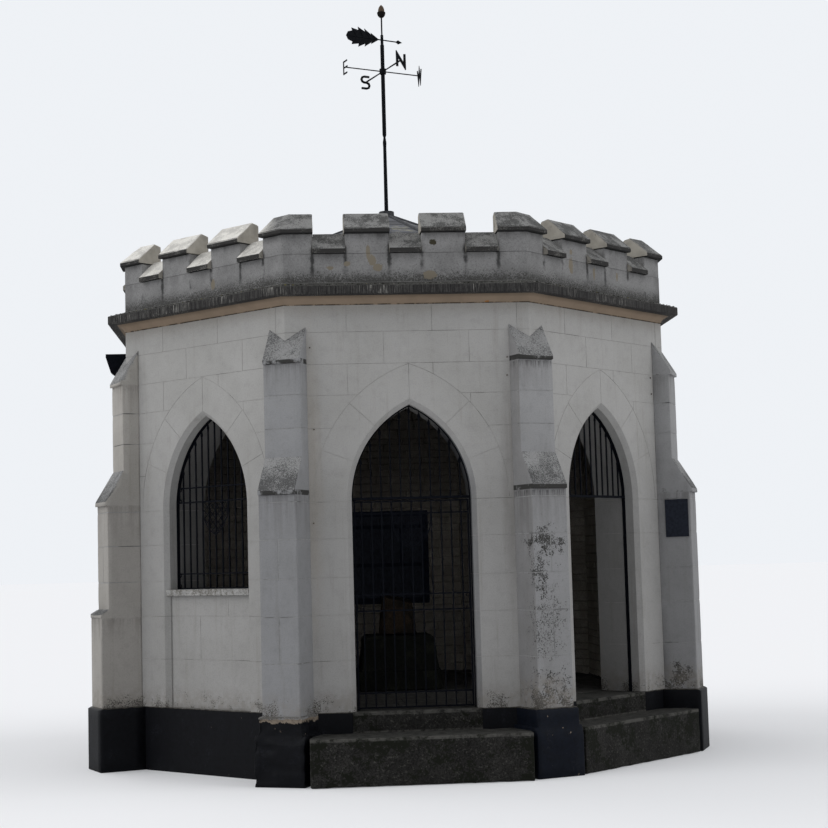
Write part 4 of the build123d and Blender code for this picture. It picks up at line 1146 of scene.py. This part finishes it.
def build_vane(paint):
    """The cast letters, the turned pole and the veins of the oak leaf."""
    arms = copy_of("cardinal_arms")
    arms.normal_update()
    letters_from, thicker = 0.46, 0.0035
    north = placed(NORTH_HEADING)(0.0, 1.0, 0.0)
    moved = [(vertex, vertex.normal * thicker * vertex.calc_shell_factor()) for vertex in arms.verts
             if abs(vertex.co.dot(north)) > letters_from]
    for vertex, offset in moved:
        vertex.co += offset
    piece("cardinal_arms_cast", arms, (paint,), "vane_metal", ("cardinal_arms",))
    low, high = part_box("vane_pole")
    pole = Shape()
    pole.turned([(0.023, low.z), (0.019, 6.890), (0.022, 6.940), (0.013, 7.004), (0.023, 7.033),
                 (0.023, 8.105), (0.020, 8.110), (0.009, 8.110), (0.009, high.z)], 32)
    piece("vane_pole_turned", pole.mesh(), (paint,), "vane_metal", ("vane_pole",))

    stem, length, half_width, middle = 0.05, 0.42, 0.10, 8.168
    veins = Shape()
    place = placed(VANE_HEADING - 90)
    tip = -stem - 0.92 * length
    for side in (0.003, -0.0055):
        faces = (side, side + 0.0025)
        veins.plate(place, [(-stem, middle - 0.006), (-stem, middle + 0.006), (tip, middle + 0.001),
                            (tip, middle - 0.001)], faces)
        for index in range(4):
            root = -stem - (index + 0.25) * length / 5
            reach = half_width * sin(radians(180 * (index + 1.0) / 6))
            for up in (-1, 1):
                vein = ((0, 0.002), (-0.010, 0.002), (-0.052, 0.85 * reach), (-0.049, 0.86 * reach))
                veins.plate(place, [(root + x, middle + up * z) for x, z in vein], faces)
    piece("oak_leaf_veins", veins.mesh(), (paint,), "vane_metal", (), "weathervane")


def build_acorn():
    """The acorn: a cup with overlapping scales and a ribbed nut."""
    low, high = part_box("acorn_finial")
    radius, cup_top = (high.x - low.x) / 2, low.z + 0.42 * (high.z - low.z)
    cup_height, nut_height = cup_top - low.z, high.z - cup_top
    rows = 12
    turns = [radians(10 + 80 * row / rows) for row in range(rows + 1)]

    def scales(turn, height):
        """Overlapping scales that stand 2 mm out of the cup."""
        row = int((height - low.z) / cup_height * rows / 2)
        return -0.002 * abs(sin(7 * turn + row * pi / 2))

    cup, nut = Shape(), Shape()
    cup.turned([(radius * sin(turn), cup_top - cup_height * cos(turn)) for turn in turns]
               + [(0.90 * radius, cup_top + 0.003)], 56, scales)
    cup_paint = metal_paint("acorn_cup_paint", (0.008, 0.007, 0.006), (0.04, 0.03, 0.02),
                            specular=0.08)
    piece("acorn_cup", cup.mesh(), (cup_paint,), "acorn_metal", ("acorn_finial",))
    nut_radius, dome_height = 0.78 * radius, 0.95 * nut_height
    dome = [(nut_radius * cos(radians(turn)), cup_top + dome_height * sin(radians(turn)))
            for turn in range(0, 80, 8)]
    nut.turned([(nut_radius, cup_top - 0.004), *dome, (0.004, high.z)], 40,
               lambda turn, height: -0.0008 * abs(sin(10 * turn)))
    nut_paint = metal_paint("acorn_nut_paint", (0.075, 0.052, 0.033), (0.15, 0.10, 0.06),
                            wear_from=0.56)
    piece("acorn_nut", nut.mesh(), (nut_paint,), "acorn_metal", ("acorn_finial",))


def build_downpipe():
    """The cast downpipe with its collars and brackets."""
    low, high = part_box("downpipe")
    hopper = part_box("rainwater_hopper")
    across = -(hopper[0].y + hopper[1].y) / 2
    radius, collar_radius, from_wall = 0.037, 0.0379, 0.062
    profile = [(radius, low.z)]
    for collar in (1.86, 3.66):
        profile += [(radius, collar), (collar_radius, collar + 0.002),
                    (collar_radius, collar + 0.07), (radius, collar + 0.075)]
    pipe = Shape()
    pipe.turned([*profile, (radius, high.z)], 32, middle=(-apothem - from_wall, -across))
    place = placed(180, apothem)
    for height in (low.z + 0.65, low.z + 1.95, low.z + 3.25):
        for half_width, depth, half_height in ((0.048, 0.010, 0.013), (0.014, 0.03, 0.011)):
            pipe.box(place, (across - half_width, across + half_width), (0.0, depth),
                     (height - half_height, height + half_height))
    piece("downpipe_cast", pipe.mesh(), (iron_paint,), "ironwork", ("downpipe",))


def build_fixings():
    """Blank panels on the board, the plaque's rim and screws, and old iron stubs in the walls."""
    panel = metal_paint("panel_blue", (0.0110, 0.0160, 0.0330), (0.018, 0.024, 0.036),
                        specular=0.12)
    pale_panel = metal_paint("panel_slate", (0.045, 0.052, 0.072), (0.060, 0.066, 0.080),
                             specular=0.12)
    plaque_paint = metal_paint("plaque_paint", (0.0170, 0.0205, 0.0310), (0.028, 0.031, 0.042),
                               specular=0.12)
    repaint(panel, "information_board")
    repaint(plaque_paint, "wall_plaque")
    board = placed(90, inner_apothem - 0.0130)
    fields = Shape()
    for across, up in (((-0.50, 0.50), (2.545, 2.655)), ((-0.50, -0.24), (2.060, 2.500)),
                       ((-0.20, 0.50), (2.060, 2.500)), ((-0.50, 0.50), (1.620, 2.015))):
        fields.box(board, across, (-0.0035, 0.0), up)
    piece("board_fields", fields.mesh(), (pale_panel,), "blue_panel")

    half_width, low, high, bar, margin = 0.1225, 2.258, 2.658, 0.008, 0.025
    middle = corner_radius + LOWER_REACH - margin - half_width
    plaque = placed(CORNERS["right_front"] - 90, BUTTRESS_HALF_WIDTH + 0.012)
    rim = Shape()
    whole, upright = (-half_width, half_width), (low + bar, high - bar)
    for across, up in ((whole, (low, low + bar)), (whole, (high - bar, high)),
                       ((-half_width, bar - half_width), upright),
                       ((half_width - bar, half_width), upright)):
        rim.box(plaque, (across[0] + middle, across[1] + middle), (-0.001, 0.002), up)
    for x in (-0.100, 0.100):
        for z in (low + 0.022, high - 0.022):
            rim.stud(plaque, x + middle, z, 0.007, (-0.001, 0.003))
    piece("plaque_rim", rim.mesh(), (plaque_paint,), "blue_panel")

    stubs = Shape()
    for heading, x, z in WALL_STUBS:
        stubs.stud(placed(heading, apothem), x, z, 0.0065, (-0.004, 0.010))
    rusty = metal_paint("rusty_stubs", (0.035, 0.020, 0.013), (0.07, 0.035, 0.02), wear_from=0.5)
    piece("wall_stubs", stubs.mesh(), (rusty,), "ironwork")


def shown_rays(nodes, links):
    """1 for the rays that show a backdrop: from the camera, in gloss and through glass."""
    rays = nodes.new("ShaderNodeLightPath")
    result = rays.outputs["Is Camera Ray"]
    for name in ("Is Glossy Ray", "Is Transmission Ray"):
        either = nodes.new("ShaderNodeMath")
        either.operation = "MAXIMUM"
        links.new(result, either.inputs[0])
        links.new(rays.outputs[name], either.inputs[1])
        result = either.outputs[0]
    return result


def build_stage():
    """Floor, sky and lamps."""
    size = 300.0
    data = bpy.data.meshes.new("stage_floor")
    data.from_pydata([(-size, -size, 0), (size, -size, 0), (size, size, 0), (-size, size, 0)], [],
                     [(0, 1, 2, 3)])
    floor = bpy.data.objects.new("stage_floor", data)
    bpy.context.scene.collection.objects.link(floor)
    paint = Finish("stage_paint", (0.74, 0.74, 0.75), 0.95, 0.0)
    paint.shader.inputs["Emission Color"].default_value = (0.86, 0.88, 0.91, 1.0)
    glow = paint.times(shown_rays(paint.nodes, paint.links), 0.15)
    paint.links.new(glow, paint.shader.inputs["Emission Strength"])
    data.materials.append(paint.done())

    world = bpy.data.worlds.new("sky")
    bpy.context.scene.world = world
    world.use_nodes = True
    nodes, links = world.node_tree.nodes, world.node_tree.links
    light = nodes["Background"]
    light.inputs["Color"].default_value = (0.95, 0.97, 1.0, 1.0)
    light.inputs["Strength"].default_value = 0.56
    backdrop = nodes.new("ShaderNodeBackground")
    backdrop.inputs["Color"].default_value = (0.86, 0.885, 0.92, 1.0)
    choose = nodes.new("ShaderNodeMixShader")
    sources = (shown_rays(nodes, links), light.outputs[0], backdrop.outputs[0])
    for index, output in enumerate(sources):
        links.new(output, choose.inputs[index])
    links.new(choose.outputs[0], nodes["World Output"].inputs["Surface"])

    for name, azimuth, elevation, strength in (("lamp_left", -78, 38, 0.95),
                                               ("lamp_right", 80, 40, 0.80),
                                               ("lamp_back", -140, 35, 0.72)):
        lamp = bpy.data.lights.new(name, "SUN")
        lamp.energy = strength
        lamp.angle = radians(50)
        holder = bpy.data.objects.new(name, lamp)
        bpy.context.scene.collection.objects.link(holder)
        turn, lift = radians(azimuth), radians(elevation)
        towards = Vector((sin(turn) * cos(lift), -cos(turn) * cos(lift), sin(lift)))
        holder.rotation_euler = towards.to_track_quat("Z", "Y").to_euler()
        holder.location = towards * 20


def build_camera():
    """The camera, where the photograph was taken from."""
    focal_pixels, image_pixels, sensor = 1670.2, 828, 36.0
    place = (-1.1635, -19.0819, 2.06)
    yaw, pitch, roll = radians(4.257), radians(5.078), radians(-1.563)
    forward = Vector((sin(yaw) * cos(pitch), cos(yaw) * cos(pitch), sin(pitch)))
    level = Vector((cos(yaw), -sin(yaw), 0.0))
    up = level.cross(forward)
    across = cos(roll) * level + sin(roll) * up
    upright = -sin(roll) * level + cos(roll) * up
    lens = bpy.data.cameras.new("camera")
    lens.sensor_width = sensor
    lens.lens = focal_pixels / image_pixels * sensor
    lens.clip_end = 1000
    holder = bpy.data.objects.new("camera", lens)
    bpy.context.scene.collection.objects.link(holder)
    axes = Matrix((across, upright, -forward)).transposed().to_4x4()
    holder.matrix_world = Matrix.Translation(place) @ axes
    bpy.context.scene.camera = holder


vane_paint = metal_paint("vane_paint", (0.0035, 0.0042, 0.0060), (0.012, 0.011, 0.010), 0.65,
                         specular=0.08)
build_walls()
build_buttresses()
build_worn_stones()
build_copings()
build_roof()
build_floor()
build_lining()
build_vane(vane_paint)
build_acorn()
build_downpipe()
build_fixings()
repaint(vane_paint, "vane_arrow")
repaint(roof_slate("roof_deck", (0.07, 0.07, 0.075)), "roof")
repaint(metal_paint("lead_sheet", (0.055, 0.057, 0.062), (0.16, 0.16, 0.16), 0.7, 0.6),
        "roof_leadwork")
repaint(iron_paint, "window_grille", "front_gate_head", "doorway_gate_head", "gate_jambs",
        "gate_bearings", "front_gate_leaf", "doorway_gate_leaf", "rainwater_hopper")
build_stage()
build_camera()
bpy.context.scene.view_settings.view_transform = "Standard"
